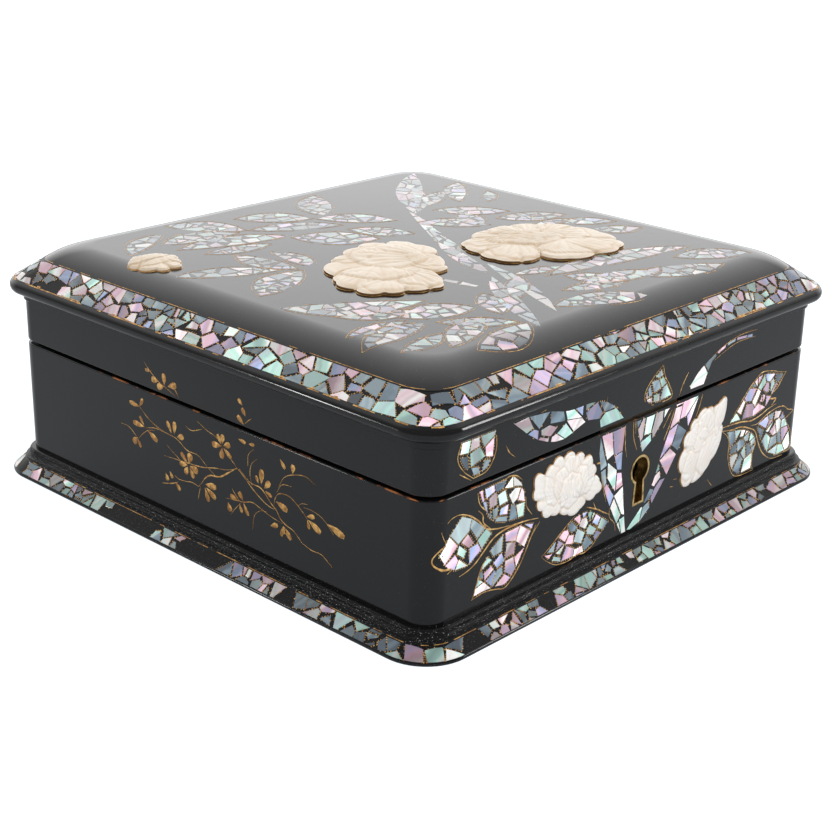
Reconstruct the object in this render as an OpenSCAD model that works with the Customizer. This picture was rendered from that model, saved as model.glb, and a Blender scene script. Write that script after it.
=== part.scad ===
// Square lacquered box with shell inlay: flared plinth, hinged lid with an
// overhanging moulded rim, carved shell flowers, brass lock, escutcheon and hinges.
// Units are millimetres, +Z is up, the keyhole faces -Y.
// The origin is the middle of the footprint, on the surface the box stands on.

/* [Case] */
// Width across the side walls
case_w = 230; // [218:1:245]
// Depth across the front and back walls
case_d = 228; // [216:1:243]
// Height of the closed box, to the flat of the lid
total_h = 95.9; // [92:0.1:110]
// Height of the gap between the base and the lid, at its middle
seam_z = 56.2; // [54:0.1:58]
// Thickness of the walls, and radius of the case corners
wall_t = 9; // [8.6:0.1:10]

/* [Plinth] */
// How far the plinth stands out from the walls
plinth_out = 9.4; // [8.4:0.1:11]
// Height of the plinth moulding
plinth_h = 10; // [9.6:0.1:10.6]

/* [Lid] */
// How far the rim overhangs the walls
rim_out = 5.8; // [5.2:0.1:7]
// Slope of the rim's shell band, in degrees
rim_slope = 40; // [36:1:42]
// Thickness of the lid's top board
board_t = 8.4; // [7.6:0.1:9]

/* [Shell] */
// Thickness of the shell inlay
shell_t = 0.5; // [0.3:0.05:0.8]
// Thickness of the carved flowers on the front
front_carving_t = 2; // [1.2:0.1:3]
// Thickness of the carved flowers on the lid
top_carving_t = 3.4; // [2:0.1:5]

/* [Brass] */
// Thickness of the hinge leaves and lock plates
leaf_t = 0.7; // [0.5:0.05:0.8]
// Distance of each hinge from the middle
hinge_x = 62; // [50:1:75]
// Radius of the hinge knuckles
knuckle_r = 2; // [1.8:0.05:2.2]

/* [Hidden] */
$fn = 48;

lacquer = [0.05, 0.05, 0.055];
shell = [0.62, 0.74, 0.76];
pearl = [0.94, 0.9, 0.82];
brass = [0.78, 0.6, 0.3];
silk = [0.5, 0.1, 0.13];
wood = [0.42, 0.28, 0.17];

// Case levels: seam faces, floor and corner centres
base_top = seam_z - leaf_t;
lid_bottom = seam_z + leaf_t;
floor_top = 7;
foot_gap = 0.6;
arris_r = 0.6;
corner_x = case_w / 2 - wall_t;
corner_y = case_d / 2 - wall_t;

// Depth of each sloping band's flat inside the round edge that it meets
blend_in = 0.02;

// Plinth section: rounded edge, sloping band, cove and bead
edge_r = 1.3;
plinth_slope = 39.6;
band_step_o = 4.1;
bead_r = 1.2;
cove_r = 1.7;
cove_top = plinth_h - cove_r;
plinth_band_in = 4.6;
plinth_band_out = plinth_out - 1.1;
plinth_tan_o = plinth_out - edge_r + (edge_r - blend_in) * sin(plinth_slope);
plinth_tan_z = edge_r + (edge_r - blend_in) * cos(plinth_slope);
band_step_z = plinth_tan_z + (plinth_tan_o - band_step_o) * tan(plinth_slope);

// Rim section: nose, sloping band, and the board's rounded shoulder above it
shoulder_o = 5.8;
shoulder_r = 20.8;
nose_r = 2.9;
shoulder_run = shoulder_r * sin(rim_slope);
shoulder_z = total_h - shoulder_r * (1 - cos(rim_slope));
nose_o = rim_out - nose_r;
nose_tan_o = nose_o + nose_r * sin(rim_slope);
nose_tan_z = shoulder_z - (nose_tan_o + shoulder_o) * tan(rim_slope);
nose_z = nose_tan_z - nose_r * cos(rim_slope);
rim_bottom = nose_z - nose_r;
board_bottom = total_h - board_t;
rim_band_in = -5;
rim_band_out = nose_tan_o - 0.9;
fillet_o = 0.8;
fillet_h = 3.3;

// Linings
lining_t = 1.5;
floor_pad_t = 3;
lid_pad_t = 4.5;
lining_drop = 2;

// Lock: case let into the front wall, bolt sliding sideways into the link plate's tongues
lock_w = 40;
lock_t = 6;
lock_h = 36;
lock_floor = base_top - lock_h;
lock_wall = 1;
skin_t = wall_t - lock_t;
selvedge_w = 47;
selvedge_in = 1.8;
key_z = 34.4;
key_r = 4.85;
key_rim = 0.9;
key_foot = 20.3;
key_foot_half = 2.5;
key_neck_half = 1.7;
key_flare = 1.15;
key_proud = 0.15;
key_clear = 0.25;
bit_hole_r = 2.7;
bit_slot_w = 2.4;
bit_slot_h = 9;
key_pin_r = 0.9;
slot_gap = 0.4;
tongue_w = 5;
tongue_h = 8;
tongue_t = 1.8;
tongue_y = 6.1;
tongue_left = [-10, 8];
notch_d = 3.5;
bolt_travel = 3.5;
bolt_lift = 0.3;
bolt_t = 2;
bar_left = -16.8;
bar_w = 27;
bar_h = 4;
bite_w = 5;
bite_h = 1.6;
finger_w = 2.8;
finger_h = 2.1;
finger_z = seam_z - tongue_h + 2;

// Hinges
leaf_w = 34;
leaf_d = 7;
knuckle_gap = 0.2;
knuckle_half = 6;
hinge_gap = 0.4;
pin_r = 0.9;
pin_play = 0.03;
axis_y = case_d / 2 + knuckle_r + hinge_gap;
screw_r = 1;
screw_head_r = 1.9;
screw_head_h = 0.6;
screw_l = 7;
screw_slot = 0.4;
hinge_screw_x = [-12, 0, 12];
hinge_screw_in = 4;
lock_screw_x = 21.6;
lock_screw_in = 5;

function rim_z(o) = nose_tan_z + (nose_tan_o - o) * tan(rim_slope);
function plinth_z(o) = plinth_tan_z + (plinth_tan_o - o) * tan(plinth_slope);

// A section drawn with x outward from the wall face and y upward, run along one side
// with half of each rounded corner. Side 0 is the back, then left, front and right.
module side_run(side) {
    len = side % 2 == 0 ? case_w : case_d;
    half = (side % 2 == 0 ? case_d : case_w) / 2;
    run = len - 2 * wall_t;
    rotate([0, 0, side * 90]) {
        translate([-run / 2, half, 0]) rotate([90, 0, 90]) linear_extrude(run) children();
        for (end = [0, 1]) mirror([end, 0, 0]) translate([-run / 2, half - wall_t, 0]) rotate([0, 0, 90])
            rotate_extrude(angle = 45) translate([wall_t, 0]) children();
    }
}

// A flat strip standing inside the walls of one side, mitred at both ends
module side_lining(side, z0, z1) {
    half_len = (side % 2 == 0 ? corner_x : corner_y);
    half = (side % 2 == 0 ? corner_y : corner_x);
    rotate([0, 0, side * 90]) translate([0, 0, z0]) linear_extrude(z1 - z0)
        polygon([[-half_len, half], [half_len, half], [half_len - lining_t, half - lining_t],
                 [-half_len + lining_t, half - lining_t]]);
}

module wall_section(z0, z1, round_low, round_high) {
    low = round_low ? arris_r : 0;
    high = round_high ? arris_r : 0;
    translate([-wall_t, z0]) square([wall_t - arris_r, z1 - z0]);
    translate([-wall_t, z0 + low]) square([wall_t, z1 - z0 - low - high]);
    if (round_high) translate([-arris_r, z1 - arris_r]) circle(arris_r);
    if (round_low) translate([-arris_r, z0 + arris_r]) circle(arris_r);
}

// ---- plinth ----
module plinth_band_section() {
    dn = [shell_t * sin(plinth_slope), shell_t * cos(plinth_slope)];
    polygon([[plinth_band_in, plinth_z(plinth_band_in)], [plinth_band_out, plinth_z(plinth_band_out)],
             [plinth_band_out - dn[0], plinth_z(plinth_band_out) - dn[1]],
             [plinth_band_in - dn[0], plinth_z(plinth_band_in) - dn[1]]]);
}

module plinth_section() {
    difference() {
        union() {
            polygon([[0, 0], [plinth_out - edge_r, 0], [plinth_out - edge_r, edge_r],
                     [plinth_tan_o, plinth_tan_z], [band_step_o, band_step_z], [0, band_step_z]]);
            translate([plinth_out - edge_r, edge_r]) circle(edge_r);
            difference() {
                square([band_step_o, cove_top]);
                translate([band_step_o, cove_top]) circle(cove_r);
            }
            translate([bead_r, plinth_h - bead_r]) intersection() {
                circle(bead_r);
                translate([-bead_r / 2, -bead_r]) square(2 * bead_r);
            }
            square([bead_r, plinth_h]);
        }
        plinth_band_section();
    }
}

module plinth(side) color(lacquer) side_run(side) plinth_section();
module plinth_shell(side) color(shell) side_run(side) plinth_band_section();

// ---- base ----
module rounded_plate(z0, z1) {
    translate([0, 0, z0]) linear_extrude(z1 - z0) {
        square([case_w, 2 * corner_y], center = true);
        square([2 * corner_x, case_d], center = true);
        for (sx = [-1, 1], sy = [-1, 1]) translate([sx * corner_x, sy * corner_y]) circle(wall_t);
    }
}

module bottom_board() color(wood) rounded_plate(foot_gap, floor_top);

// Keyhole outline on the wall, grown by g: round head above a flared foot
module key_outline(g) {
    neck = key_neck_half + g;
    foot = key_foot_half + key_flare * g;
    foot_z = key_foot + key_rim - g;
    translate([0, key_z]) circle(key_r + g);
    polygon([[-neck, key_z], [neck, key_z], [foot, foot_z], [-foot, foot_z]]);
}

// A flat shape on the front face, given as x and z, standing from depth a to b outward
module on_front(a, b) translate([0, -case_d / 2 - a, 0]) rotate([90, 0, 0]) linear_extrude(b - a) children();

module lock_box() translate([-lock_w / 2, -corner_y - lock_t, lock_floor]) cube([lock_w, lock_t, lock_h]);

module screw_at(x, y, z, down) {
    translate([x, y, z]) mirror([0, 0, down ? 0 : 1]) difference() {
        union() {
            translate([0, 0, -screw_l]) cylinder(r = screw_r, h = screw_l);
            translate([0, 0, -screw_head_h]) cylinder(r1 = screw_r, r2 = screw_head_r, h = screw_head_h);
        }
        translate([-screw_head_r, -screw_slot / 2, -screw_slot / 2])
            cube([2 * screw_head_r, screw_slot, screw_slot]);
    }
}

module screw_hole(x, y, z, down) translate([x, y, z]) mirror([0, 0, down ? 0 : 1]) {
    translate([0, 0, -screw_l]) cylinder(r = screw_r, h = screw_l + screw_head_h);
    translate([0, 0, -screw_head_h]) cylinder(r1 = screw_r, r2 = screw_head_r, h = screw_head_h);
}

module hinge_screw_spots() for (s = [-1, 1], dx = hinge_screw_x)
    translate([s * hinge_x + dx, case_d / 2 - hinge_screw_in, 0]) children();
module lock_screw_spots() for (s = [-1, 1])
    translate([s * lock_screw_x, -case_d / 2 + lock_screw_in, 0]) children();

module base_wall(side) color(lacquer) difference() {
    side_run(side) wall_section(floor_top, base_top, false, true);
    if (side == 2) {
        lock_box();
        on_front(-skin_t - slot_gap, slot_gap) key_outline(key_rim);
        on_front(-shell_t, slot_gap) front_leaf_outlines();
        lock_screw_spots() screw_hole(0, 0, seam_z, true);
    }
    if (side == 0) hinge_screw_spots() screw_hole(0, 0, seam_z, true);
}

module base_lining_floor() color(silk) translate([-corner_x + lining_t, -corner_y + lining_t, floor_top])
    cube([2 * (corner_x - lining_t), 2 * (corner_y - lining_t), floor_pad_t]);

module base_lining(side) color(silk) difference() {
    side_lining(side, floor_top, base_top - lining_drop);
    if (side == 2) translate([-lock_w / 2 - lock_wall, -corner_y - lock_wall, lock_floor - lock_wall])
        cube([lock_w + 2 * lock_wall, lining_t + 2 * lock_wall, lock_h + 2 * lock_wall]);
}

// ---- shell leaves ----
// Outline of a pointed leaf, given as tip, tip, width and how far its middle line bows sideways
leaf_n = 8;
function leaf_point(l, t, side) =
    let (d = l[1] - l[0], n = [-d[1], d[0]] / norm(d))
    l[0] + d * t + n * (4 * l[3] * t * (1 - t) + side * l[2] / 2 * sin(180 * t));
module leaf(l) polygon(concat([for (i = [0:leaf_n]) leaf_point(l, i / leaf_n, 1)],
                              [for (i = [leaf_n - 1:-1:1]) leaf_point(l, i / leaf_n, -1)]));

// A tapering spray of shell that leaves the base's edge w wide at x and ends in a tip
module spray(x, w, z, tip, sag) {
    mid_x = (x + tip[0]) / 2 + sag;
    mid_z = (z + tip[1]) / 2;
    polygon([[x - w / 2, z], [mid_x - w / 3, mid_z], tip, [mid_x + w / 3, mid_z], [x + w / 2, z]]);
}

// Leaves on the front of the base, in x and z: tip, tip, width, bend
front_leaves = [[[-65, 35], [-84, 56], 19, 0], [[-80, 37], [-113, 36], 17, 0], [[-60, 34], [-93, 14], 15, -2],
                [[-55, 17], [-15, 20], 14, 2], [[57, 36], [98, 49], 12, 1], [[80, 32], [104, 12], 15, 0],
                [[58, 33], [75, 10.5], 15, -2]];
leaf_margin = 1;
front_top = base_top - leaf_margin;
module front_leaf_outlines() difference() {
    intersection() {
        union() {
            for (l = front_leaves) leaf(l);
            spray(-18.5, 15, front_top, [-9, 10.5], 1);
            spray(28.5, 14, front_top, [-6, 11.5], 1);
            spray(7, 20, front_top, [0, 41], 0);
        }
        translate([-corner_x, plinth_h + slot_gap]) square([2 * corner_x, front_top - plinth_h - slot_gap]);
    }
    key_outline(key_rim + key_clear);
}
module front_shell_leaves() color(shell) on_front(-shell_t, 0) front_leaf_outlines();

// Leaves on the front of the lid, in x and z
lid_leaves = [[[-91, 57], [-92, 74], 17, 0], [[-74, 71], [-38, 70], 9, -4], [[-40, 70], [-13, 60], 9, 1],
              [[7, 57], [10, 73], 15, 0], [[28, 57], [44, 69], 8, 0], [[43, 67.5], [70, 72], 2.5, 1.5]];
module lid_leaf_outlines() intersection() {
    for (l = lid_leaves) leaf(l);
    translate([-corner_x, lid_bottom + leaf_margin])
        square([2 * corner_x, rim_bottom - fillet_h - lid_bottom - 1.5 * leaf_margin]);
}
module lid_shell_leaves() color(shell) on_front(-shell_t, 0) lid_leaf_outlines();

// Leaves and stems on the flat of the lid, in x and y
top_leaves = [[[-40, -94], [8, 2], 13, 3], [[8, 0], [39, 44], 5, -2], [[38, 42], [91, 90], 15, 0],
              [[-94, -24], [-44, -54], 17, -6], [[-95, -62], [-45, -78], 18, 0], [[-80, -87], [-42, -83], 13, 0],
              [[-92, 34], [-70, -8], 16, 0], [[-62, 38], [-50, 8], 15, 0], [[-90, 70], [-28, 50], 18, 6],
              [[-50, 93], [-38, 66], 14, 0], [[-22, 80], [-4, 44], 16, 0], [[22, 92], [8, 34], 16, 0],
              [[-28, 42], [4, 24], 14, 0], [[92, 62], [50, 14], 15, 0], [[48, 6], [24, 30], 14, 0],
              [[60, 8], [84, -8], 12, 0], [[74, -18], [92, -40], 14, 0], [[8, -58], [82, -72], 16, 2],
              [[-20, -86], [18, -90], 9, 0], [[10, -68], [38, -84], 12, 0], [[28, -88], [94, -88], 10, 0]];
module top_leaf_outlines() for (l = top_leaves) leaf(l);
module top_shell_leaves() color(shell) translate([0, 0, total_h - shell_t])
    linear_extrude(shell_t) top_leaf_outlines();

// ---- carved flowers ----
// Overlapping round petals in rings about a centre, each ring standing higher
petal_share = 0.42;
ring_inset = 0.27;
module flower(rx, ry, petals, rings, t) {
    step = t / rings;
    for (ring = [0:rings - 1]) {
        k = 1 - ring * ring_inset;
        pr = petal_share * k * min(rx, ry);
        spots = [for (i = [0:petals - 1]) let (a = (i + ring / 2) * 360 / petals)
                 [(rx * k - pr) * cos(a), (ry * k - pr) * sin(a)]];
        linear_extrude((ring + 1) * step) {
            for (spot = spots) translate(spot) circle(pr);
            polygon(spots);
        }
    }
}

module front_flower(x, z, turn, rx, ry, petals) color(pearl)
    translate([x, -case_d / 2, z]) rotate([90, 0, 0]) rotate(turn) flower(rx, ry, petals, 3, front_carving_t);
module top_flower(x, y, turn, rx, ry, petals, rings, t) color(pearl)
    translate([x, y, total_h]) rotate(turn) flower(rx, ry, petals, rings, t);

module front_peony() front_flower(-43.6, 41.4, 0, 19.2, 12.6, 9);
module front_blossom() front_flower(39.6, 33, 45, 19.5, 11.5, 7);
module top_peony_left() top_flower(-31, -12, 37, 33, 21, 9, 3, top_carving_t);
module top_peony_right() top_flower(39.5, -28.5, -20, 32, 26, 11, 3, top_carving_t);
module top_bud() top_flower(-90.5, 51.5, 60, 9.5, 7, 5, 2, 0.8 * top_carving_t);

// ---- brass lock ----
module escutcheon() color(brass) difference() {
    on_front(-skin_t, key_proud) key_outline(key_rim);
    on_front(-skin_t - slot_gap, key_proud + slot_gap) key_outline(0);
}

// Plate on the front wall's edge that carries the screws
module selvedge(z) translate([-selvedge_w / 2, selvedge_in - case_d / 2, z])
    cube([selvedge_w, wall_t - selvedge_in, leaf_t]);

module lock_case() color(brass) difference() {
    union() {
        lock_box();
        selvedge(base_top);
    }
    translate([-lock_w / 2 + lock_wall, -corner_y - lock_t + lock_wall, lock_floor + lock_wall])
        cube([lock_w - 2 * lock_wall, lock_t, lock_h - 2 * lock_wall]);
    for (x = tongue_left)
        translate([x - slot_gap, -case_d / 2 + tongue_y - tongue_t / 2 - slot_gap, base_top - 2 * lock_wall])
            cube([tongue_w + 2 * slot_gap, tongue_t + 2 * slot_gap, 2 * lock_wall + 2 * leaf_t]);
    on_front(-skin_t - 2 * lock_wall, slot_gap - skin_t) {
        translate([0, key_z]) circle(bit_hole_r);
        translate([-bit_slot_w / 2, key_z - bit_slot_h]) square([bit_slot_w, bit_slot_h]);
    }
    lock_screw_spots() screw_hole(0, 0, seam_z, true);
}

module lock_cap() color(brass)
    translate([-lock_w / 2 + lock_wall, -corner_y - lock_wall, lock_floor + lock_wall])
        cube([lock_w - 2 * lock_wall, lock_wall, lock_h - 2 * lock_wall]);

module lock_pin() color(brass) translate([0, -corner_y - lock_wall, key_z]) rotate([90, 0, 0])
    cylinder(r = key_pin_r, h = lock_t - lock_wall);

module lock_screws() color(brass) lock_screw_spots() screw_at(0, 0, seam_z, true);

// Outline of the bolt, in x and z: a bar with two hooked fingers
module bolt_outline() {
    bar_z = seam_z - tongue_h - bolt_lift - bar_h;
    difference() {
        translate([bar_left, bar_z]) square([bar_w, bar_h]);
        translate([-bite_w / 2, bar_z]) square([bite_w, bite_h]);
    }
    for (x = tongue_left) {
        left = x - bolt_lift - bolt_travel - finger_w;
        translate([left, bar_z]) square([finger_w, finger_z + finger_h - bar_z]);
        translate([left, finger_z]) square([x - slot_gap - left, finger_h]);
    }
}
module lock_bolt() color(brass) on_front(-tongue_y - bolt_t / 2, -tongue_y + bolt_t / 2) bolt_outline();

module link_plate() color(brass) difference() {
    union() {
        selvedge(seam_z);
        on_front(-tongue_y - tongue_t / 2, -tongue_y + tongue_t / 2) for (x = tongue_left) difference() {
            translate([x, seam_z - tongue_h]) square([tongue_w, tongue_h + leaf_t / 2]);
            translate([x - slot_gap, finger_z - bolt_lift])
                square([notch_d + slot_gap, finger_h + 2 * bolt_lift]);
        }
    }
    lock_screw_spots() screw_hole(0, 0, seam_z, false);
}
module link_screws() color(brass) lock_screw_spots() screw_at(0, 0, seam_z, false);

// ---- hinges ----
// A rod of radius r about the hinge axis, from x = a to b
module on_axis(r, a, b) translate([a, axis_y, seam_z]) rotate([0, 90, 0]) cylinder(r = r, h = b - a);

// Plate on the wall's edge with tongues out to the knuckles in the given x spans
module hinge_leaf(z0, spans, bore, down) {
    plate_y = case_d / 2 - leaf_d;
    difference() {
        union() {
            translate([-leaf_w / 2, plate_y, z0]) cube([leaf_w, leaf_d, leaf_t]);
            for (s = spans) difference() {
                union() {
                    translate([s[0], plate_y, z0]) cube([s[1] - s[0], axis_y - plate_y, leaf_t]);
                    on_axis(knuckle_r, s[0], s[1]);
                }
                on_axis(bore, s[0] - 1, s[1] + 1);
            }
        }
        for (dx = hinge_screw_x) screw_hole(dx, case_d / 2 - hinge_screw_in, seam_z, down);
    }
}

base_spans = [[-leaf_w / 2, -knuckle_half - knuckle_gap], [knuckle_half + knuckle_gap, leaf_w / 2]];
lid_spans = [[-knuckle_half, knuckle_half]];
module hinge_base_leaf(s) color(brass) translate([s * hinge_x, 0, 0])
    hinge_leaf(base_top, base_spans, pin_r, true);
module hinge_lid_leaf(s) color(brass) translate([s * hinge_x, 0, 0])
    hinge_leaf(seam_z, lid_spans, pin_r + pin_play, false);
module hinge_pins() color(brass) for (s = [-1, 1])
    on_axis(pin_r, s * hinge_x - leaf_w / 2, s * hinge_x + leaf_w / 2);
module hinge_base_screws() color(brass) hinge_screw_spots() screw_at(0, 0, seam_z, true);
module hinge_lid_screws() color(brass) hinge_screw_spots() screw_at(0, 0, seam_z, false);

// ---- lid ----
module lid_wall(side) color(lacquer) difference() {
    side_run(side) {
        wall_section(lid_bottom, rim_bottom, true, false);
        translate([-arris_r, rim_bottom - arris_r]) square([arris_r, arris_r]);
        translate([-arris_r, rim_bottom - fillet_h]) square([arris_r + fillet_o, fillet_h]);
    }
    if (side == 2) {
        on_front(-shell_t, slot_gap) lid_leaf_outlines();
        lock_screw_spots() screw_hole(0, 0, seam_z, false);
    }
    if (side == 0) hinge_screw_spots() screw_hole(0, 0, seam_z, false);
}

module rim_band_section() {
    dn = [shell_t * sin(rim_slope), shell_t * cos(rim_slope)];
    polygon([[rim_band_in, rim_z(rim_band_in)], [rim_band_out, rim_z(rim_band_out)],
             [rim_band_out - dn[0], rim_z(rim_band_out) - dn[1]],
             [rim_band_in - dn[0], rim_z(rim_band_in) - dn[1]]]);
}

module rim_section() difference() {
    union() {
        polygon([[-wall_t, rim_bottom], [nose_o, rim_bottom], [nose_o, nose_z], [nose_tan_o, nose_tan_z],
                 [-shoulder_o, shoulder_z], [-shoulder_o, board_bottom], [-wall_t, board_bottom]]);
        translate([nose_o, nose_z]) circle(nose_r);
    }
    rim_band_section();
}

module lid_rim(side) color(lacquer) side_run(side) rim_section();
module lid_shell(side) color(shell) side_run(side) rim_band_section();

// Height profile of the board across one direction: flat with rounded shoulders
module board_profile(half) {
    flat = half - shoulder_o - shoulder_run;
    translate([-flat, board_bottom]) square([2 * flat, board_t]);
    for (s = [-1, 1]) intersection() {
        translate([s * flat, total_h - shoulder_r]) circle(shoulder_r, $fn = 96);
        translate([s > 0 ? 0 : -half, board_bottom]) square([half, board_t]);
    }
}

module lid_board() color(lacquer) difference() {
    intersection() {
        translate([-case_w / 2, 0, 0]) rotate([90, 0, 90]) linear_extrude(case_w) board_profile(case_d / 2);
        translate([0, case_d / 2, 0]) rotate([90, 0, 0]) linear_extrude(case_d) board_profile(case_w / 2);
        translate([0, 0, board_bottom - 1]) linear_extrude(board_t + 2) {
            square([case_w - 2 * shoulder_o, 2 * corner_y], center = true);
            square([2 * corner_x, case_d - 2 * shoulder_o], center = true);
            for (sx = [-1, 1], sy = [-1, 1]) translate([sx * corner_x, sy * corner_y])
                circle(wall_t - shoulder_o);
        }
    }
    translate([0, 0, total_h - shell_t]) linear_extrude(2 * shell_t) top_leaf_outlines();
}

module lid_lining(side) color(silk) side_lining(side, lid_bottom + lining_drop, board_bottom);
module lid_pad() color(silk) translate([-corner_x + lining_t, -corner_y + lining_t, board_bottom - lid_pad_t])
    cube([2 * (corner_x - lining_t), 2 * (corner_y - lining_t), lid_pad_t]);

plinth(0);  // plinth_back
plinth(1);  // plinth_left
plinth(2);  // plinth_front
plinth(3);  // plinth_right
plinth_shell(0);  // plinth_shell_back
plinth_shell(1);  // plinth_shell_left
plinth_shell(2);  // plinth_shell_front
plinth_shell(3);  // plinth_shell_right
bottom_board();
base_wall(0);  // base_wall_back
base_wall(1);  // base_wall_left
base_wall(2);  // base_wall_front
base_wall(3);  // base_wall_right
base_lining_floor();
base_lining(0);  // base_lining_back
base_lining(1);  // base_lining_left
base_lining(2);  // base_lining_front
base_lining(3);  // base_lining_right
front_shell_leaves();
front_peony();
front_blossom();
escutcheon();
lock_case();
lock_cap();
lock_pin();
lock_screws();
lock_bolt();
hinge_base_leaf(-1);  // hinge_base_leaf_left
hinge_base_leaf(1);  // hinge_base_leaf_right
hinge_pins();
hinge_base_screws();
lid_wall(0);  // lid_wall_back
lid_wall(1);  // lid_wall_left
lid_wall(2);  // lid_wall_front
lid_wall(3);  // lid_wall_right
lid_rim(0);  // lid_rim_back
lid_rim(1);  // lid_rim_left
lid_rim(2);  // lid_rim_front
lid_rim(3);  // lid_rim_right
lid_shell(0);  // lid_shell_back
lid_shell(1);  // lid_shell_left
lid_shell(2);  // lid_shell_front
lid_shell(3);  // lid_shell_right
lid_board();
top_shell_leaves();
lid_shell_leaves();
top_peony_left();
top_peony_right();
top_bud();
lid_lining(0);  // lid_lining_back
lid_lining(1);  // lid_lining_left
lid_lining(2);  // lid_lining_front
lid_lining(3);  // lid_lining_right
lid_pad();
link_plate();
link_screws();
hinge_lid_leaf(-1);  // hinge_lid_leaf_left
hinge_lid_leaf(1);  // hinge_lid_leaf_right
hinge_lid_screws();
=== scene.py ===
import math
import random

import bmesh
import bpy
import numpy as np
from mathutils import Matrix, Vector, noise


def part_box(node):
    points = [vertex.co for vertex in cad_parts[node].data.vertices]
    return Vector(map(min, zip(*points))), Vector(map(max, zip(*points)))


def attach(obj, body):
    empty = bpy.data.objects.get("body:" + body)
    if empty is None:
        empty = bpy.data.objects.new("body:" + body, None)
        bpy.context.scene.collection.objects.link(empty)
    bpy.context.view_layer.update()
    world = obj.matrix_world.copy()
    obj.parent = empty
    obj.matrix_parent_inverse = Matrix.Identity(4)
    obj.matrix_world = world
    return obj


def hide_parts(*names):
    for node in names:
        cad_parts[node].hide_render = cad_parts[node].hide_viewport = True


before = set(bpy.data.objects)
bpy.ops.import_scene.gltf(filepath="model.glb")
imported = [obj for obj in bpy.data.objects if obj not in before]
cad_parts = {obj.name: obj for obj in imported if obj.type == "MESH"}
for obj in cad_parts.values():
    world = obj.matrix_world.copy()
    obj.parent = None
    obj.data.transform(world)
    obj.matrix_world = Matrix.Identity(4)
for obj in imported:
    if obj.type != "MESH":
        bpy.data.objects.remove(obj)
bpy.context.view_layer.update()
MM = 0.001


# ---------------------------------------------------------------- sizes, in millimetres, from the frame
def box_mm(node):
    """The two corners of a node's box."""
    lo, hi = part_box(node)
    return lo / MM, hi / MM


HALF_W = box_mm("base_wall_right")[1].x
HALF_D = box_mm("base_wall_back")[1].y
WALL_T = HALF_W - box_mm("base_lining_right")[1].x
PLINTH_OUT = box_mm("plinth_right")[1].x - HALF_W
PLINTH_H = box_mm("plinth_right")[1].z
FLOOR_TOP = box_mm("bottom_board")[1].z
BASE_TOP = box_mm("base_wall_left")[1].z
LID_BOTTOM = box_mm("lid_wall_left")[0].z
RIM_BOTTOM = box_mm("lid_rim_left")[0].z
RIM_OUT = box_mm("lid_rim_right")[1].x - HALF_W
TOP = box_mm("lid_board")[1].z
BOARD_BOTTOM = box_mm("lid_board")[0].z

# Rim: nose, sloping band and the board's rounded shoulder
RIM_SLOPE = math.radians(40)
NOSE_R = 2.9
SHOULDER_O = -5.8
SHOULDER_R = 20.8
FLAT_O = SHOULDER_O - SHOULDER_R * math.sin(RIM_SLOPE)
SHOULDER_Z = TOP - SHOULDER_R * (1 - math.cos(RIM_SLOPE))
NOSE_O = RIM_OUT - NOSE_R
NOSE_TAN_O = NOSE_O + NOSE_R * math.sin(RIM_SLOPE)
NOSE_TAN_Z = SHOULDER_Z - (NOSE_TAN_O - SHOULDER_O) * math.tan(RIM_SLOPE)
NOSE_Z = NOSE_TAN_Z - NOSE_R * math.cos(RIM_SLOPE)
RIM_BAND = (-5.0, NOSE_TAN_O - 0.9)
FILLET_O, FILLET_H = 0.8, 3.3
RIM_CORNER_R = WALL_T + RIM_BAND[1]

# Plinth: rounded edge, sloping band, cove and bead
PLINTH_SLOPE = math.radians(39.6)
EDGE_R, COVE_R, BEAD_R = 0.9, 1.7, 1.2
BAND_STEP_O = 4.1
PLINTH_TAN_O = PLINTH_OUT - EDGE_R * (1 - math.sin(PLINTH_SLOPE))
PLINTH_TAN_Z = EDGE_R * (1 + math.cos(PLINTH_SLOPE))
PLINTH_BAND = (4.5, PLINTH_TAN_O - 0.02)

# Arrises of the walls, depth of the shell's beds, steps round a corner
ARRIS_R = 0.6
GROUT_D = 0.16
CORNER_N = 24

# Keyhole: half widths at the neck and the foot, the plate's rim and how far the rim widens the foot
KEY_NECK, KEY_FOOT, KEY_RIM, KEY_FLARE = 1.7, 2.5, 0.9, 1.15


def rim_z(o):
    """Height of the rim's sloping band at an offset."""
    return NOSE_TAN_Z + (NOSE_TAN_O - o) * math.tan(RIM_SLOPE)


def plinth_z(o):
    """Height of the plinth's sloping band at an offset."""
    return PLINTH_TAN_Z + (PLINTH_TAN_O - o) * math.tan(PLINTH_SLOPE)


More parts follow.
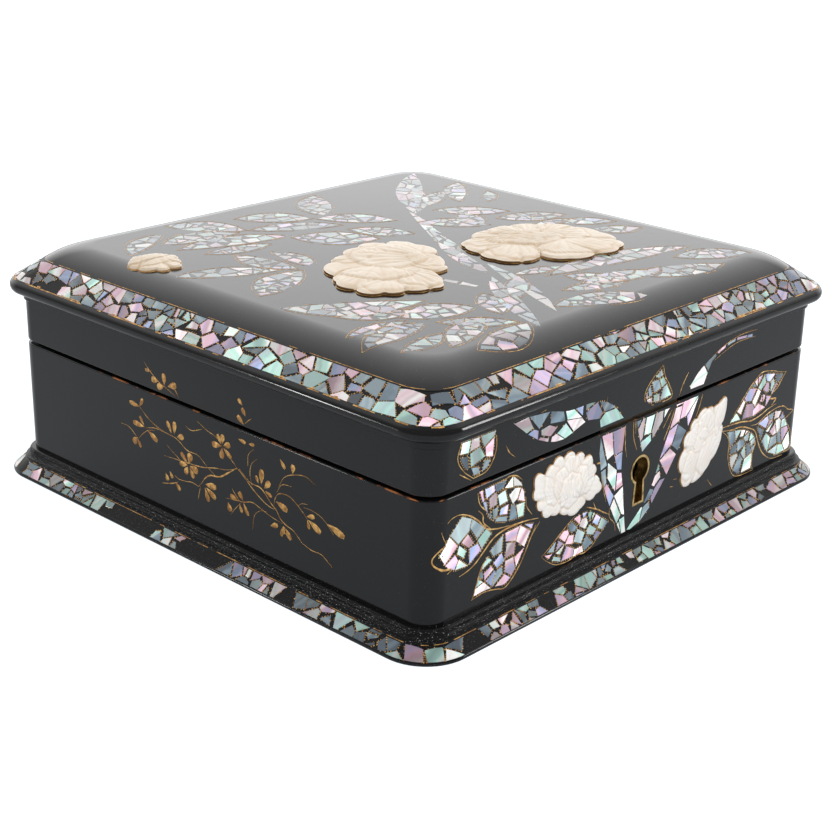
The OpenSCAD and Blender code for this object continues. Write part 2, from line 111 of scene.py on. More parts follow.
# ---------------------------------------------------------------- node helpers
class Nodes:
    """A material's node tree with short ways to add and join nodes."""

    def __init__(self, name):
        self.mat = bpy.data.materials.new(name)
        self.mat.use_nodes = True
        self.tree = self.mat.node_tree
        self.bsdf = self.tree.nodes["Principled BSDF"]
        coords = self.tree.nodes.new("ShaderNodeTexCoord")
        self.mm = self.times(coords.outputs["Object"], (1 / MM, 1 / MM, 1 / MM))

    def link(self, out, socket):
        self.tree.links.new(out, socket)

    def put(self, socket, value):
        if isinstance(value, bpy.types.NodeSocket):
            self.link(value, socket)
        elif value is not None:
            socket.default_value = value

    def times(self, a, factors):
        """A vector with its x, y and z multiplied by three factors."""
        node = self.tree.nodes.new("ShaderNodeVectorMath")
        node.operation = "MULTIPLY"
        self.put(node.inputs[0], a)
        self.put(node.inputs[1], factors)
        return node.outputs["Vector"]

    def math(self, op, a, b=None, c=None, clamp=False):
        node = self.tree.nodes.new("ShaderNodeMath")
        node.operation = op
        node.use_clamp = clamp
        for socket, value in zip(node.inputs, (a, b, c)):
            self.put(socket, value)
        return node.outputs[0]

    def add(self, a, b):
        return self.math("ADD", a, b)

    def minus(self, a, b):
        return self.math("SUBTRACT", a, b)

    def mul(self, a, b):
        return self.math("MULTIPLY", a, b)

    def mad(self, a, b, c, clamp=False):
        """a times b, plus c."""
        return self.math("MULTIPLY_ADD", a, b, c, clamp)

    def most(self, a, b):
        return self.math("MAXIMUM", a, b)

    def step(self, value, low, high, a=0.0, b=1.0):
        """A smooth step from a, where the value is low, to b, where it is high."""
        node = self.tree.nodes.new("ShaderNodeMapRange")
        node.interpolation_type = "SMOOTHSTEP"
        names = ("Value", "From Min", "From Max", "To Min", "To Max")
        for name, v in zip(names, (value, low, high, a, b)):
            self.put(node.inputs[name], v)
        return node.outputs["Result"]

    def noise(self, scale, detail=2.0, rough=0.5, stretch=None, distortion=0.0):
        node = self.tree.nodes.new("ShaderNodeTexNoise")
        self.put(node.inputs["Vector"], self.times(self.mm, stretch) if stretch else self.mm)
        node.inputs["Scale"].default_value = scale
        node.inputs["Detail"].default_value = detail
        node.inputs["Roughness"].default_value = rough
        node.inputs["Distortion"].default_value = distortion
        return node.outputs["Fac"]

    def noise_1d(self, w, scale, detail=2.0):
        node = self.tree.nodes.new("ShaderNodeTexNoise")
        node.noise_dimensions = "1D"
        self.put(node.inputs["W"], w)
        node.inputs["Scale"].default_value = scale
        node.inputs["Detail"].default_value = detail
        return node.outputs["Fac"]

    def ramp(self, value, stops):
        node = self.tree.nodes.new("ShaderNodeValToRGB")
        node.color_ramp.interpolation = "EASE"
        elements = node.color_ramp.elements
        while len(elements) < len(stops):
            elements.new(0.5)
        for element, (place, colour) in zip(elements, stops):
            element.position = place
            element.color = (*colour, 1.0)
        self.put(node.inputs["Fac"], value)
        return node.outputs["Color"]

    def mix(self, fac, a, b, blend="MIX"):
        node = self.tree.nodes.new("ShaderNodeMix")
        node.data_type = "RGBA"
        node.blend_type = blend
        self.put(node.inputs["Factor"], fac)
        for socket, value in ((node.inputs["A"], a), (node.inputs["B"], b)):
            self.put(socket, (*value, 1.0) if isinstance(value, tuple) else value)
        return node.outputs["Result"]

    def attribute(self, name):
        """The four channels of a colour attribute."""
        node = self.tree.nodes.new("ShaderNodeAttribute")
        node.attribute_name = name
        parts = self.tree.nodes.new("ShaderNodeSeparateColor")
        self.link(node.outputs["Color"], parts.inputs["Color"])
        return (*parts.outputs, node.outputs["Alpha"])

    def xyz(self):
        node = self.tree.nodes.new("ShaderNodeSeparateXYZ")
        self.link(self.mm, node.inputs[0])
        return node.outputs

    def bump(self, height, strength, distance_mm):
        node = self.tree.nodes.new("ShaderNodeBump")
        node.inputs["Strength"].default_value = strength
        node.inputs["Distance"].default_value = distance_mm * MM
        self.put(node.inputs["Height"], height)
        self.link(node.outputs["Normal"], self.bsdf.inputs["Normal"])

    def set(self, **values):
        for name, value in values.items():
            self.put(self.bsdf.inputs[name.replace("_", " ")], value)
        return self.mat


# ---------------------------------------------------------------- materials
COPPER = (0.34, 0.12, 0.04)
DUST = (0.35, 0.36, 0.36)
NEAR_CORNER = -HALF_W - HALF_D


def lacquer_material():
    """Black gloss lacquer: faint clouding and scratches, dust specks, copper-brown wear on the edges.
    The wear is strongest along the seam near the front left corner, and the dust in the plinth's cove."""
    n = Nodes("black_lacquer")
    x, y, z = n.xyz()
    cloud = n.noise(0.02, 3.0)
    scratch = n.noise(0.9, 2.0, stretch=(1.0, 0.06, 1.0))
    cross = n.noise(0.8, 2.0, stretch=(0.05, 1.0, 1.0))
    hair = n.most(n.step(scratch, 0.66, 0.74), n.step(cross, 0.68, 0.76))
    seam = n.most(edge_band(n, z, BASE_TOP, 0.40), edge_band(n, z, LID_BOTTOM, 0.22))
    rubbed = n.step(n.add(x, y), NEAR_CORNER + 35, NEAR_CORNER - 8, 0.0, 0.26)
    flat = [n.minus(n.math("ABSOLUTE", axis), half) for axis, half in ((x, HALF_W), (y, HALF_D))]
    seam = n.mul(seam, n.step(n.most(*flat), -1.0, -0.5))
    worn = n.mul(seam, n.step(n.add(n.noise(0.09, 4.0, 0.6), rubbed), 0.54, 0.68))
    low = n.step(z, PLINTH_H + 1, PLINTH_H - 1)
    speck = n.step(n.mad(low, 0.07, n.noise(2.6, 1.0)), 0.745, 0.78)
    cove = between(n, z, plinth_z(PLINTH_BAND[0]), PLINTH_H, 0.3)
    dust = n.mul(speck, n.mad(cove, 0.75, 0.2))
    black = n.mix(cloud, (0.0035, 0.0035, 0.0040), (0.0060, 0.0060, 0.0065))
    colour = n.mix(dust, n.mix(worn, black, COPPER), DUST)
    beds = [between(n, z, height(band[1]), height(band[0]))
            for height, band in ((plinth_z, PLINTH_BAND), (rim_z, RIM_BAND))]
    matt = n.most(n.most(*beds), cove)
    rough = n.mad(cloud, 0.07, 0.075)
    rough = n.mad(matt, 0.25, rough)
    rough = n.mad(hair, 0.10, rough)
    rough = n.mad(worn, 0.30, rough)
    rough = n.mad(dust, 0.5, rough, clamp=True)
    swell = n.mad(n.noise(0.12, 2.0), 0.6, n.mul(hair, -0.04))
    n.bump(n.mad(n.noise(1.6, 2.0), 0.03, swell), 0.25, 0.12)
    gloss = n.mad(matt, -0.22, 0.38)
    return n.set(Base_Color=colour, Roughness=rough, IOR=1.47, Specular_IOR_Level=gloss)


def between(n, z, low, high, soft=0.1):
    """1 from height low to height high, 0 outside."""
    return n.mul(n.step(z, low - soft, low + soft), n.step(z, high + soft, high - soft))


def edge_band(n, z, level, width):
    """1 at a height, falling to 0 at a width above and below it."""
    gap = n.math("ABSOLUTE", n.minus(z, level))
    return n.step(gap, width, width * 0.4)


def rgb(r, g, b):
    """Linear colour from 8-bit display values."""
    return tuple((v / 255 / 12.92) if v <= 10 else ((v / 255 + 0.055) / 1.055) ** 2.4 for v in (r, g, b))


ABALONE = [
    (0.00, rgb(78, 94, 108)),
    (0.10, rgb(104, 124, 138)),
    (0.20, rgb(132, 150, 158)),
    (0.30, rgb(166, 182, 184)),
    (0.38, rgb(158, 198, 190)),
    (0.46, rgb(184, 224, 210)),
    (0.56, rgb(236, 236, 232)),
    (0.66, rgb(236, 216, 220)),
    (0.76, rgb(224, 180, 196)),
    (0.86, rgb(194, 176, 210)),
    (1.00, rgb(150, 168, 204)),
]


def abalone_material():
    """Abalone shell chips. Each chip carries its hue, grain angle, phase and brightness as an attribute."""
    n = Nodes("abalone")
    hue, angle, phase, bright = n.attribute("chip")
    turn = n.mul(angle, 2 * math.pi)
    x, y, z = n.xyz()
    along = n.mul(x, n.math("COSINE", turn))
    along = n.mad(y, n.math("SINE", turn), along)
    along = n.mad(z, n.math("COSINE", n.mad(turn, 1.7, 1.0)), along)
    along = n.mad(phase, 60.0, along)
    wavy = n.mad(n.noise(0.35, 2.0), 2.2, along)
    drift = n.minus(n.noise_1d(wavy, 0.16, 1.0), 0.5)
    bands = n.minus(n.noise_1d(wavy, 0.55, 2.0), 0.5)
    place = n.mad(drift, 0.62, hue)
    place = n.mad(bands, 0.09, place, clamp=True)
    colour = n.ramp(place, ABALONE)
    grain = n.noise_1d(wavy, 3.2, 3.0)
    # bright is the chip's random brightness times the painted light of its face.
    shade = n.mul(bright, n.mad(grain, 0.14, 0.93))
    shade = n.mul(shade, n.mad(n.noise_1d(wavy, 0.22, 1.0), 1.1, 0.45))
    grey = n.tree.nodes.new("ShaderNodeCombineColor")
    for socket in grey.inputs:
        n.put(socket, shade)
    colour = n.mix(1.0, colour, grey.outputs["Color"], "MULTIPLY")
    n.bump(n.mad(n.noise(1.2, 2.0), 0.6, grain), 0.12, 0.06)
    return n.set(Base_Color=colour, Metallic=0.12, Roughness=0.34, Coat_Weight=0.6, Coat_Roughness=0.12)


def gilt_material(name, thin_gold, gold):
    """Powdered gold under lacquer: warm, uneven, brown where it is thin."""
    n = Nodes(name)
    thin = n.noise(0.5, 3.0, 0.6)
    fine = n.noise(3.5, 2.0)
    colour = n.mix(n.step(thin, 0.38, 0.66), thin_gold, gold)
    colour = n.mix(n.step(fine, 0.60, 0.72, 0.0, 0.5), colour, (0.22, 0.10, 0.03))
    n.bump(fine, 0.4, 0.05)
    return n.set(Base_Color=colour, Metallic=0.45, Roughness=n.mad(fine, 0.2, 0.32))


def pearl_material(name, pale, warm, edge, shade):
    """Carved shell: pearly and slightly translucent, darker down at its cut edges, with painted shade in its
    grooves, creases, ribs and foot.
    """
    n = Nodes(name)
    height, painted_groove_shade, _, _ = n.attribute("lift")
    cloud = n.noise(0.09, 3.0, 0.55)
    layers = n.noise(0.8, 2.0, stretch=(1.0, 0.22, 1.0), distortion=0.6)
    colour = n.mix(n.step(cloud, 0.34, 0.66), pale, warm)
    colour = n.mix(n.mul(layers, 0.35), colour, pale)
    # Painted shade: the edge colour is laid into grooves, creases, ribs and the foot, by up to shade.
    colour = n.mix(n.step(painted_groove_shade, 0.20, 0.95, 0.0, shade), colour, edge)
    colour = n.mix(n.step(height, 0.30, 0.02, 0.0, 0.9), colour, edge)
    n.bump(n.mad(n.noise(2.5, 2.0), 0.5, layers), 0.18, 0.08)
    n.set(Subsurface_Weight=0.18, Subsurface_Radius=(0.0018, 0.0012, 0.0008), Subsurface_Scale=0.6)
    return n.set(Base_Color=colour, Roughness=n.mad(cloud, 0.12, 0.30), Coat_Weight=0.25, Coat_Roughness=0.2)


def brass_material(name, bright, dull):
    """Brushed brass with dull stains."""
    n = Nodes(name)
    stain = n.noise(0.35, 4.0, 0.6)
    brush = n.noise(3.0, 2.0, stretch=(0.15, 1.0, 1.0))
    colour = n.mix(n.step(stain, 0.40, 0.68), bright, dull)
    rough = n.mad(stain, 0.30, 0.16)
    n.bump(brush, 0.15, 0.03)
    return n.set(Base_Color=colour, Metallic=1.0, Roughness=rough)


def silk_material():
    """Faded crimson silk velvet: fine pile, soft sheen, uneven fading."""
    n = Nodes("silk_lining")
    pile = n.noise(5.0, 2.0, 0.7)
    fade = n.noise(0.03, 3.0)
    warp = n.noise(2.2, 1.0, stretch=(1.0, 0.12, 0.12))
    colour = n.mix(n.step(fade, 0.30, 0.75), (0.24, 0.018, 0.030), (0.30, 0.034, 0.044))
    colour = n.mix(n.mul(pile, 0.45), colour, (0.10, 0.006, 0.012))
    n.bump(n.mad(warp, 0.5, pile), 0.45, 0.12)
    n.set(Sheen_Weight=0.6, Sheen_Roughness=0.4, Sheen_Tint=(1.0, 0.55, 0.55, 1.0))
    return n.set(Base_Color=colour, Roughness=0.8)


def wood_material():
    """Bare hardwood, with its grain along x."""
    n = Nodes("bottom_wood")
    grain = n.noise(0.25, 4.0, 0.6, stretch=(0.06, 1.0, 1.0), distortion=0.4)
    pores = n.noise(1.8, 2.0, stretch=(0.05, 1.0, 1.0))
    colour = n.mix(grain, (0.16, 0.085, 0.04), (0.34, 0.21, 0.11))
    colour = n.mix(n.step(pores, 0.62, 0.70), colour, (0.07, 0.035, 0.018))
    n.bump(n.mad(pores, -0.6, grain), 0.35, 0.15)
    return n.set(Base_Color=colour, Roughness=0.62)


LACQUER = lacquer_material()
SHELL = abalone_material()
GILT = gilt_material("gilt", (0.30, 0.13, 0.03), (0.68, 0.40, 0.12))
BRIGHT_GILT = gilt_material("bright_gilt", (0.48, 0.24, 0.06), (0.92, 0.62, 0.24))
CREAM = pearl_material("carved_cream", (0.53, 0.44, 0.335), (0.495, 0.385, 0.265), (0.40, 0.24, 0.10), 0.55)
WHITE = pearl_material("carved_white", (0.91, 0.87, 0.83), (0.88, 0.81, 0.75), (0.58, 0.41, 0.22), 0.30)
BRASS = brass_material("aged_brass", (0.78, 0.56, 0.24), (0.30, 0.19, 0.07))
LOCK_BRASS = brass_material("lock_brass", (0.10, 0.075, 0.04), (0.04, 0.03, 0.018))
SILK = silk_material()
WOOD = wood_material()


# ---------------------------------------------------------------- mesh helpers
def new_object(name, mesh, material, body, replaced=(), slot=None):
    """A piece that rides on a body, and the CAD nodes it stands for."""
    obj = bpy.data.objects.new(name, mesh)
    bpy.context.scene.collection.objects.link(obj)
    mesh.materials.append(material)
    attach(obj, body)
    if replaced:
        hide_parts(*replaced)
    return obj


def poured(name, bm):
    """A mesh of what the bmesh holds; the bmesh is freed."""
    mesh = bpy.data.meshes.new(name)
    bm.to_mesh(mesh)
    bm.free()
    return mesh


def in_metres(name, bm):
    """A mesh in metres from a bmesh drawn in millimetres."""
    bmesh.ops.scale(bm, vec=(MM, MM, MM), verts=bm.verts)
    return poured(name, bm)


def smoothed(mesh, sharp_deg):
    """The mesh, shaded smooth but for its edges sharper than an angle."""
    for face in mesh.polygons:
        face.use_smooth = True
    mesh.set_sharp_from_angle(angle=math.radians(sharp_deg))
    return mesh


def to_mesh(name, bm, sharp_deg=30.0, merge=1e-3):
    """A closed, smooth-shaded mesh in metres from a bmesh drawn in millimetres."""
    bmesh.ops.remove_doubles(bm, verts=bm.verts, dist=merge)
    bmesh.ops.recalc_face_normals(bm, faces=bm.faces)
    return smoothed(in_metres(name, bm), sharp_deg)


def baked(obj):
    """The object's mesh as its modifiers leave it."""
    bpy.context.view_layer.update()
    return bpy.data.meshes.new_from_object(obj.evaluated_get(bpy.context.evaluated_depsgraph_get()))


def weighted(obj):
    """Normals that follow the larger faces, so that flats beside rounds shade flat."""
    mod = obj.modifiers.new("normals", "WEIGHTED_NORMAL")
    mod.keep_sharp = True
    mod.weight = 100


def skin(bm, a, b):
    """Faces between two closed rows of vertices."""
    for i in range(len(a)):
        j = (i + 1) % len(a)
        bm.faces.new((a[i], a[j], b[j], b[i]))


def ring(o, z, r=None):
    """Points round the case at offset o from the wall face, with corner radius r."""
    r = WALL_T + o if r is None else r
    cx, cy = HALF_W + o - r, HALF_D + o - r
    out = []
    for k, (sx, sy) in enumerate(((1, 1), (-1, 1), (-1, -1), (1, -1))):
        for i in range(CORNER_N + 1):
            a = math.radians(90 * (k + i / CORNER_N))
            out.append(Vector((sx * cx + r * math.cos(a), sy * cy + r * math.sin(a), z)))
    return out


def arc(o, z, r, a0, a1, n):
    """Section points on an arc, angles in degrees from outward, counter-clockwise."""
    steps = [math.radians(a0 + (a1 - a0) * i / n) for i in range(n + 1)]
    return [(o + r * math.cos(a), z + r * math.sin(a)) for a in steps]


def swept(name, section, closed=True):
    """A section swept round the case: a closed loop, or a stack of rings capped at both ends."""
    bm = bmesh.new()
    rings = [[bm.verts.new(p) for p in ring(*s)] for s in section]
    for a, b in zip(rings, rings[1:] + rings[:1] if closed else rings[1:]):
        skin(bm, a, b)
    if not closed:
        bm.faces.new(rings[0])
        bm.faces.new(list(reversed(rings[-1])))
    bmesh.ops.dissolve_degenerate(bm, edges=bm.edges, dist=1e-4)
    return to_mesh(name, bm)


# ---------------------------------------------------------------- lacquered case
def sides(prefix):
    """The four nodes of a part that runs round the case."""
    return [f"{prefix}_{s}" for s in ("front", "back", "left", "right")]


def band_bed(outer, inner, height, slope):
    """Section points of the sunk bed that holds a shell band, from its outer to its inner edge."""
    dn = (GROUT_D * math.sin(slope), GROUT_D * math.cos(slope))
    return [
        (outer, height(outer)),
        (outer - dn[0], height(outer) - dn[1]),
        (inner - dn[0], height(inner) - dn[1]),
        (inner, height(inner)),
    ]


def plinth():
    """The base moulding: rounded edge, sunk bed for the shell, cove and bead."""
    cove_top = PLINTH_H - COVE_R
    section = [(0, 0)]
    section += arc(PLINTH_OUT - EDGE_R, EDGE_R, EDGE_R, -90, 90 - math.degrees(PLINTH_SLOPE), 10)
    section += band_bed(PLINTH_BAND[1], PLINTH_BAND[0], plinth_z, PLINTH_SLOPE)
    section += [(BAND_STEP_O, plinth_z(BAND_STEP_O))]
    section += arc(BAND_STEP_O, cove_top, COVE_R, 270, 180, 8)
    section += arc(BEAD_R, PLINTH_H - BEAD_R, BEAD_R, -24, 90, 8)
    section += [(0, PLINTH_H)]
    return new_object("plinth", swept("plinth", section), LACQUER, "base", sides("plinth"), "lacquer")


def base_walls():
    """The base's walls in one, with the lock's pocket and the keyhole cut out of the front."""
    section = [(-WALL_T, FLOOR_TOP), (0, FLOOR_TOP)]
    section += arc(-ARRIS_R, BASE_TOP - ARRIS_R, ARRIS_R, 0, 90, 5)
    section += [(-WALL_T, BASE_TOP)]
    mesh = swept("base_walls", section)
    obj = new_object("base_walls", mesh, LACQUER, "base", sides("base_wall"), "lacquer")
    lock = box_mm("lock_case")[0]
    key_lo, key_hi = box_mm("escutcheon")
    cap_lo, cap_hi = box_mm("lock_cap")
    edge, past = cap_lo.x - 1, 2
    cut_box(obj, (edge, lock.y, lock.z), (-edge, cap_hi.y + past, BASE_TOP + past))
    cut_prism(obj, keyhole_outline(key_hi.x), key_lo.y - past, key_hi.y + 1.5)
    return obj


def carve(obj, bm):
    """Cut a solid, drawn in millimetres, out of an object."""
    bmesh.ops.recalc_face_normals(bm, faces=bm.faces)
    tool = bpy.data.objects.new("cutter", in_metres("cutter", bm))
    bpy.context.scene.collection.objects.link(tool)
    mod = obj.modifiers.new("cut", "BOOLEAN")
    mod.operation, mod.solver, mod.object = "DIFFERENCE", "EXACT", tool
    done = baked(obj)
    obj.modifiers.clear()
    obj.data = smoothed(done, 30)
    bpy.data.objects.remove(tool)


def cut_box(obj, lo, hi):
    """Cut a box between two corners out of an object."""
    bm = bmesh.new()
    centre = [(a + b) / 2 for a, b in zip(lo, hi)]
    size = [b - a for a, b in zip(lo, hi)]
    bmesh.ops.create_cube(bm, size=1, matrix=Matrix.Translation(centre) @ Matrix.Diagonal((*size, 1)))
    carve(obj, bm)


def cut_prism(obj, outline, y0, y1):
    """Cut an outline in x and z out of an object, from y0 to y1."""
    bm = bmesh.new()
    near = [bm.verts.new((x, y0, z)) for x, z in outline]
    far = [bm.verts.new((x, y1, z)) for x, z in outline]
    skin(bm, near, far)
    bm.faces.new(near)
    bm.faces.new(far)
    carve(obj, bm)


def keyhole_outline(r):
    """Outline in x and z of the keyhole's plate, whose round head has radius r."""
    n = 28
    lo, hi = box_mm("escutcheon")
    head_z = hi.z - hi.x
    neck = KEY_NECK + KEY_RIM
    half_foot = KEY_FOOT + KEY_FLARE * KEY_RIM
    start = math.asin(neck / r)
    steps = [start + (2 * math.pi - 2 * start) * i / n for i in range(n + 1)]
    head = [(r * math.sin(a), head_z - r * math.cos(a)) for a in steps]
    return head + [(-half_foot, lo.z), (half_foot, lo.z)]


def lid_walls():
    """The lid's walls in one, with the small fillet under the rim."""
    top = RIM_BOTTOM
    soft = 0.25
    section = [(-WALL_T, LID_BOTTOM)]
    section += arc(-ARRIS_R, LID_BOTTOM + ARRIS_R, ARRIS_R, -90, 0, 5)
    section += [(0, top - FILLET_H), (FILLET_O - soft, top - FILLET_H), (FILLET_O, top - FILLET_H + soft)]
    section += [(FILLET_O, top), (-WALL_T, top)]
    return new_object("lid_walls", swept("lid_walls", section), LACQUER, "lid", sides("lid_wall"), "lacquer")


def lid_rim():
    """The overhanging rim: rounded nose, then the sunk bed for the shell."""
    section = [(-WALL_T, RIM_BOTTOM)]
    section += arc(NOSE_O, NOSE_Z, NOSE_R, -90, 90 - math.degrees(RIM_SLOPE), 18)
    section += [(o, z, RIM_CORNER_R) for o, z in band_bed(RIM_BAND[1], RIM_BAND[0], rim_z, RIM_SLOPE)]
    section += [(SHOULDER_O, z, RIM_CORNER_R) for z in (SHOULDER_Z, BOARD_BOTTOM)]
    section += [(-WALL_T, BOARD_BOTTOM)]
    return new_object("lid_rim", swept("lid_rim", section), LACQUER, "lid", sides("lid_rim"), "lacquer")


def lid_top():
    """The lid's board, with its rounded shoulder."""
    steps = 26
    section = [(SHOULDER_O, BOARD_BOTTOM, RIM_CORNER_R)]
    for i in range(steps + 1):
        a = RIM_SLOPE * (1 - i / steps)
        o = SHOULDER_O - SHOULDER_R * (math.sin(RIM_SLOPE) - math.sin(a))
        section.append((o, TOP - SHOULDER_R * (1 - math.cos(a)), RIM_CORNER_R))
    mesh = swept("lid_top", section, closed=False)
    return new_object("lid_top", mesh, LACQUER, "lid", ["lid_board"], "lacquer")


for made in (plinth(), base_walls(), lid_walls(), lid_rim(), lid_top()):
    weighted(made)


# ---------------------------------------------------------------- shell chips
def clip(poly, n, d):
    """The part of a polygon where n.p <= d."""
    out = []
    for i, a in enumerate(poly):
        b = poly[(i + 1) % len(poly)]
        da = n[0] * a[0] + n[1] * a[1] - d
        db = n[0] * b[0] + n[1] * b[1] - d
        if da <= 0:
            out.append(a)
        if da * db < 0:
            t = da / (da - db)
            out.append((a[0] + (b[0] - a[0]) * t, a[1] + (b[1] - a[1]) * t))
    return out


def area(poly):
    """Signed area, above 0 where the outline runs counter-clockwise."""
    return sum(a[0] * b[1] - b[0] * a[1] for a, b in zip(poly, poly[1:] + poly[:1])) / 2


def middle(poly):
    """The mean of an outline's points."""
    return sum(p[0] for p in poly) / len(poly), sum(p[1] for p in poly) / len(poly)


def edges_of(poly):
    """Outward unit normal and distance of each edge of a counter-clockwise polygon."""
    out = []
    for a, b in zip(poly, poly[1:] + poly[:1]):
        d = (b[0] - a[0], b[1] - a[1])
        length = math.hypot(*d)
        if length > 1e-6:
            n = (d[1] / length, -d[0] / length)
            out.append((n, n[0] * a[0] + n[1] * a[1]))
    return out


class Scatter:
    """Seed points kept apart by a distance that varies from point to point."""

    CELL = 9.0

    def __init__(self):
        self.points, self.grid = [], {}

    def near(self, p):
        i, j = int(p[0] // self.CELL), int(p[1] // self.CELL)
        for a in (i - 1, i, i + 1):
            for b in (j - 1, j, j + 1):
                yield from self.grid.get((a, b), ())

    def add(self, p, keep):
        for q, other in self.near(p):
            if sum((a - b) ** 2 for a, b in zip(p, q)) < ((keep + other) / 2) ** 2:
                return
        self.points.append((p, keep))
        self.grid.setdefault((int(p[0] // self.CELL), int(p[1] // self.CELL)), []).append((p, keep))


# How far a shard may reach, how near a neighbour has to be, and what a larger one takes from a smaller
REACH, NEIGHBOURS, PUSH = 1.35, 2.4, 0.16
# Corners a shard ends with, and the most of it one broken corner may take
SIDES = (3, 4, 4, 4, 5, 5)
MOST_LOST = 0.26
# Grout on one side of a shard and on one side of a crack, as shares of the gap
GAPS = (0.16, 0.22, 0.3, 0.45, 0.95)
CRACK = 0.4
# Share of shards that are cracked in two, smallest area and shortest edge kept
SPLIT_SHARE, SMALLEST, SHORTEST = 0.22, 1.0, 0.3


def blunt(rng, poly):
    """A shard with a few of its corners broken off, none of them a large part of it."""
    poly = list(poly)
    aim, whole = rng.choice(SIDES), abs(area(poly))
    while len(poly) > aim:
        losses = [abs(area([poly[i - 1], p, poly[(i + 1) % len(poly)]])) for i, p in enumerate(poly)]
        least = min(range(len(poly)), key=losses.__getitem__)
        if losses[least] > MOST_LOST * whole:
            break
        poly.pop(least)
    return poly


def shards_round(rng, keep, others, gap, trim):
    """Shards of shell for a seed at (0, 0), clear of the other seeds by the grout's width."""
    reach = keep * REACH
    cell = [(-reach, -reach), (reach, -reach), (reach, reach), (-reach, reach)]
    for q, other in others:
        far = math.hypot(*q)
        if 1e-6 < far < NEIGHBOURS * reach:
            n = (q[0] / far, q[1] / far)
            share = 0.5 + PUSH * (keep - other) / (keep + other)
            cell = clip(cell, n, far * share - gap * rng.choice(GAPS))
            if len(cell) < 3:
                return []
    parts = [cell]
    if rng.random() < SPLIT_SHARE:
        a = rng.uniform(0, math.pi)
        n, c = (math.cos(a), math.sin(a)), middle(cell)
        d = n[0] * c[0] + n[1] * c[1]
        parts = [clip(cell, n, d - gap * CRACK), clip(cell, (-n[0], -n[1]), -d - gap * CRACK)]
    out = []
    for part in parts:
        part = trim(part) if len(part) >= 3 else part
        if len(part) >= 3 and area(part) > SMALLEST:
            out.append(without_stubs(blunt(rng, part)))
    return [s for s in out if len(s) >= 3]


def without_stubs(poly):
    """The outline without its shortest edges."""
    out = []
    for p in poly:
        if not out or math.dist(p, out[-1]) > SHORTEST:
            out.append(p)
    if len(out) > 1 and math.dist(out[0], out[-1]) <= SHORTEST:
        out.pop()
    return out


def scaled(p, c, k):
    """A point moved towards c, or away from it where k is above 1."""
    return c[0] + (p[0] - c[0]) * k, c[1] + (p[1] - c[1]) * k


def closer(poly, step):
    """The outline with points added so that none of its edges is longer than step."""
    out = []
    for a, b in zip(poly, poly[1:] + poly[:1]):
        n = max(1, math.ceil(math.dist(a, b) / step))
        out += [(a[0] + (b[0] - a[0]) * i / n, a[1] + (b[1] - a[1]) * i / n) for i in range(n)]
    return out


# Places on the shell's colour ramp, and how bright a chip looks
HUES = (0.03, 0.08, 0.14, 0.19, 0.24, 0.3, 0.36, 0.42, 0.5, 0.56, 0.6, 0.66, 0.72, 0.77, 0.85, 0.95)
LIGHTS = (0.50, 0.70, 0.85, 0.95, 1.0, 1.1, 1.25, 1.5)


def upwards(place, p=(0, 0)):
    """The way out of the surface that place() describes, at one of its points."""
    return (place(*p, 1) - place(*p, 0)).normalized()


class Chips:
    """Collects shell chips as thin bevelled plates, each closed, with its own look."""

    # Height of the face, depth of the root, height and width of the bevel
    TOP, DEPTH, EDGE, BEVEL = 0.05, 0.35, 0.07, 0.13
    # Longest edge, and the half width from which the face gets a second ring
    LONGEST, LARGE = 2.6, 1.8
    # Tilt of the face, and how much of the bulge of a curved surface it is raised by
    TILT, RISE = 0.010, 0.3

    # light is painted light: one brightness factor for all chips of a face, standing in for how brightly that
    # face is lit.
    def __init__(self, seed, light):
        self.bm = bmesh.new()
        self.layer = self.bm.verts.layers.float_color.new("chip")
        self.rng, self.light = random.Random(seed), light

    def look(self):
        """Hue, grain angle, phase and brightness of one chip; the brightness is random, times the painted
        light of its face.
        """
        hue = self.rng.choice(HUES) + self.rng.uniform(-0.03, 0.03)
        hue = min(1, max(0, hue))
        return hue, self.rng.random(), self.rng.random(), self.rng.choice(LIGHTS) * self.light

    def add(self, poly, place):
        """One chip, its face laid close to the surface that place() describes, or over a curved one."""
        look = self.look()
        c = middle(poly)
        poly = closer(poly, self.LONGEST)
        level = sum((place(*p) for p in poly), Vector()) / len(poly)
        top = self.TOP + self.RISE * max(0.0, (place(*c) - level).dot(upwards(place, c)))
        inner = [scaled(p, c, max(0.4, 1 - self.BEVEL * 1.5 / math.dist(p, c))) for p in poly]
        tilt = [self.rng.uniform(-1, 1) * self.TILT for _ in range(2)]

        def lift(p):
            return top + tilt[0] * (p[0] - c[0]) + tilt[1] * (p[1] - c[1])

        rows = [
            [place(*p, -self.DEPTH) for p in poly],
            [place(*p, lift(p) - self.EDGE) for p in poly],
            [place(*p, lift(p)) for p in inner],
        ]
        if max(math.dist(p, c) for p in poly) > self.LARGE:
            half = [scaled(p, c, 0.5) for p in inner]
            rows.append([place(*p, lift(p)) for p in half])
        rows = [[self.bm.verts.new(v) for v in row] for row in rows]
        hub = self.bm.verts.new(place(*c, lift(c)))
        for v in [v for row in rows for v in row] + [hub]:
            v[self.layer] = look
        for a, b in zip(rows, rows[1:]):
            skin(self.bm, a, b)
        for a, b in zip(rows[-1], rows[-1][1:] + rows[-1][:1]):
            self.bm.faces.new((a, b, hub))
        self.bm.faces.new(list(reversed(rows[0])))

    def finish(self, name, body, replaced):
        """Make the piece."""
        mesh = to_mesh(name, self.bm, 20.0, merge=1e-5)
        return new_object(name, mesh, SHELL, body, replaced, "abalone")


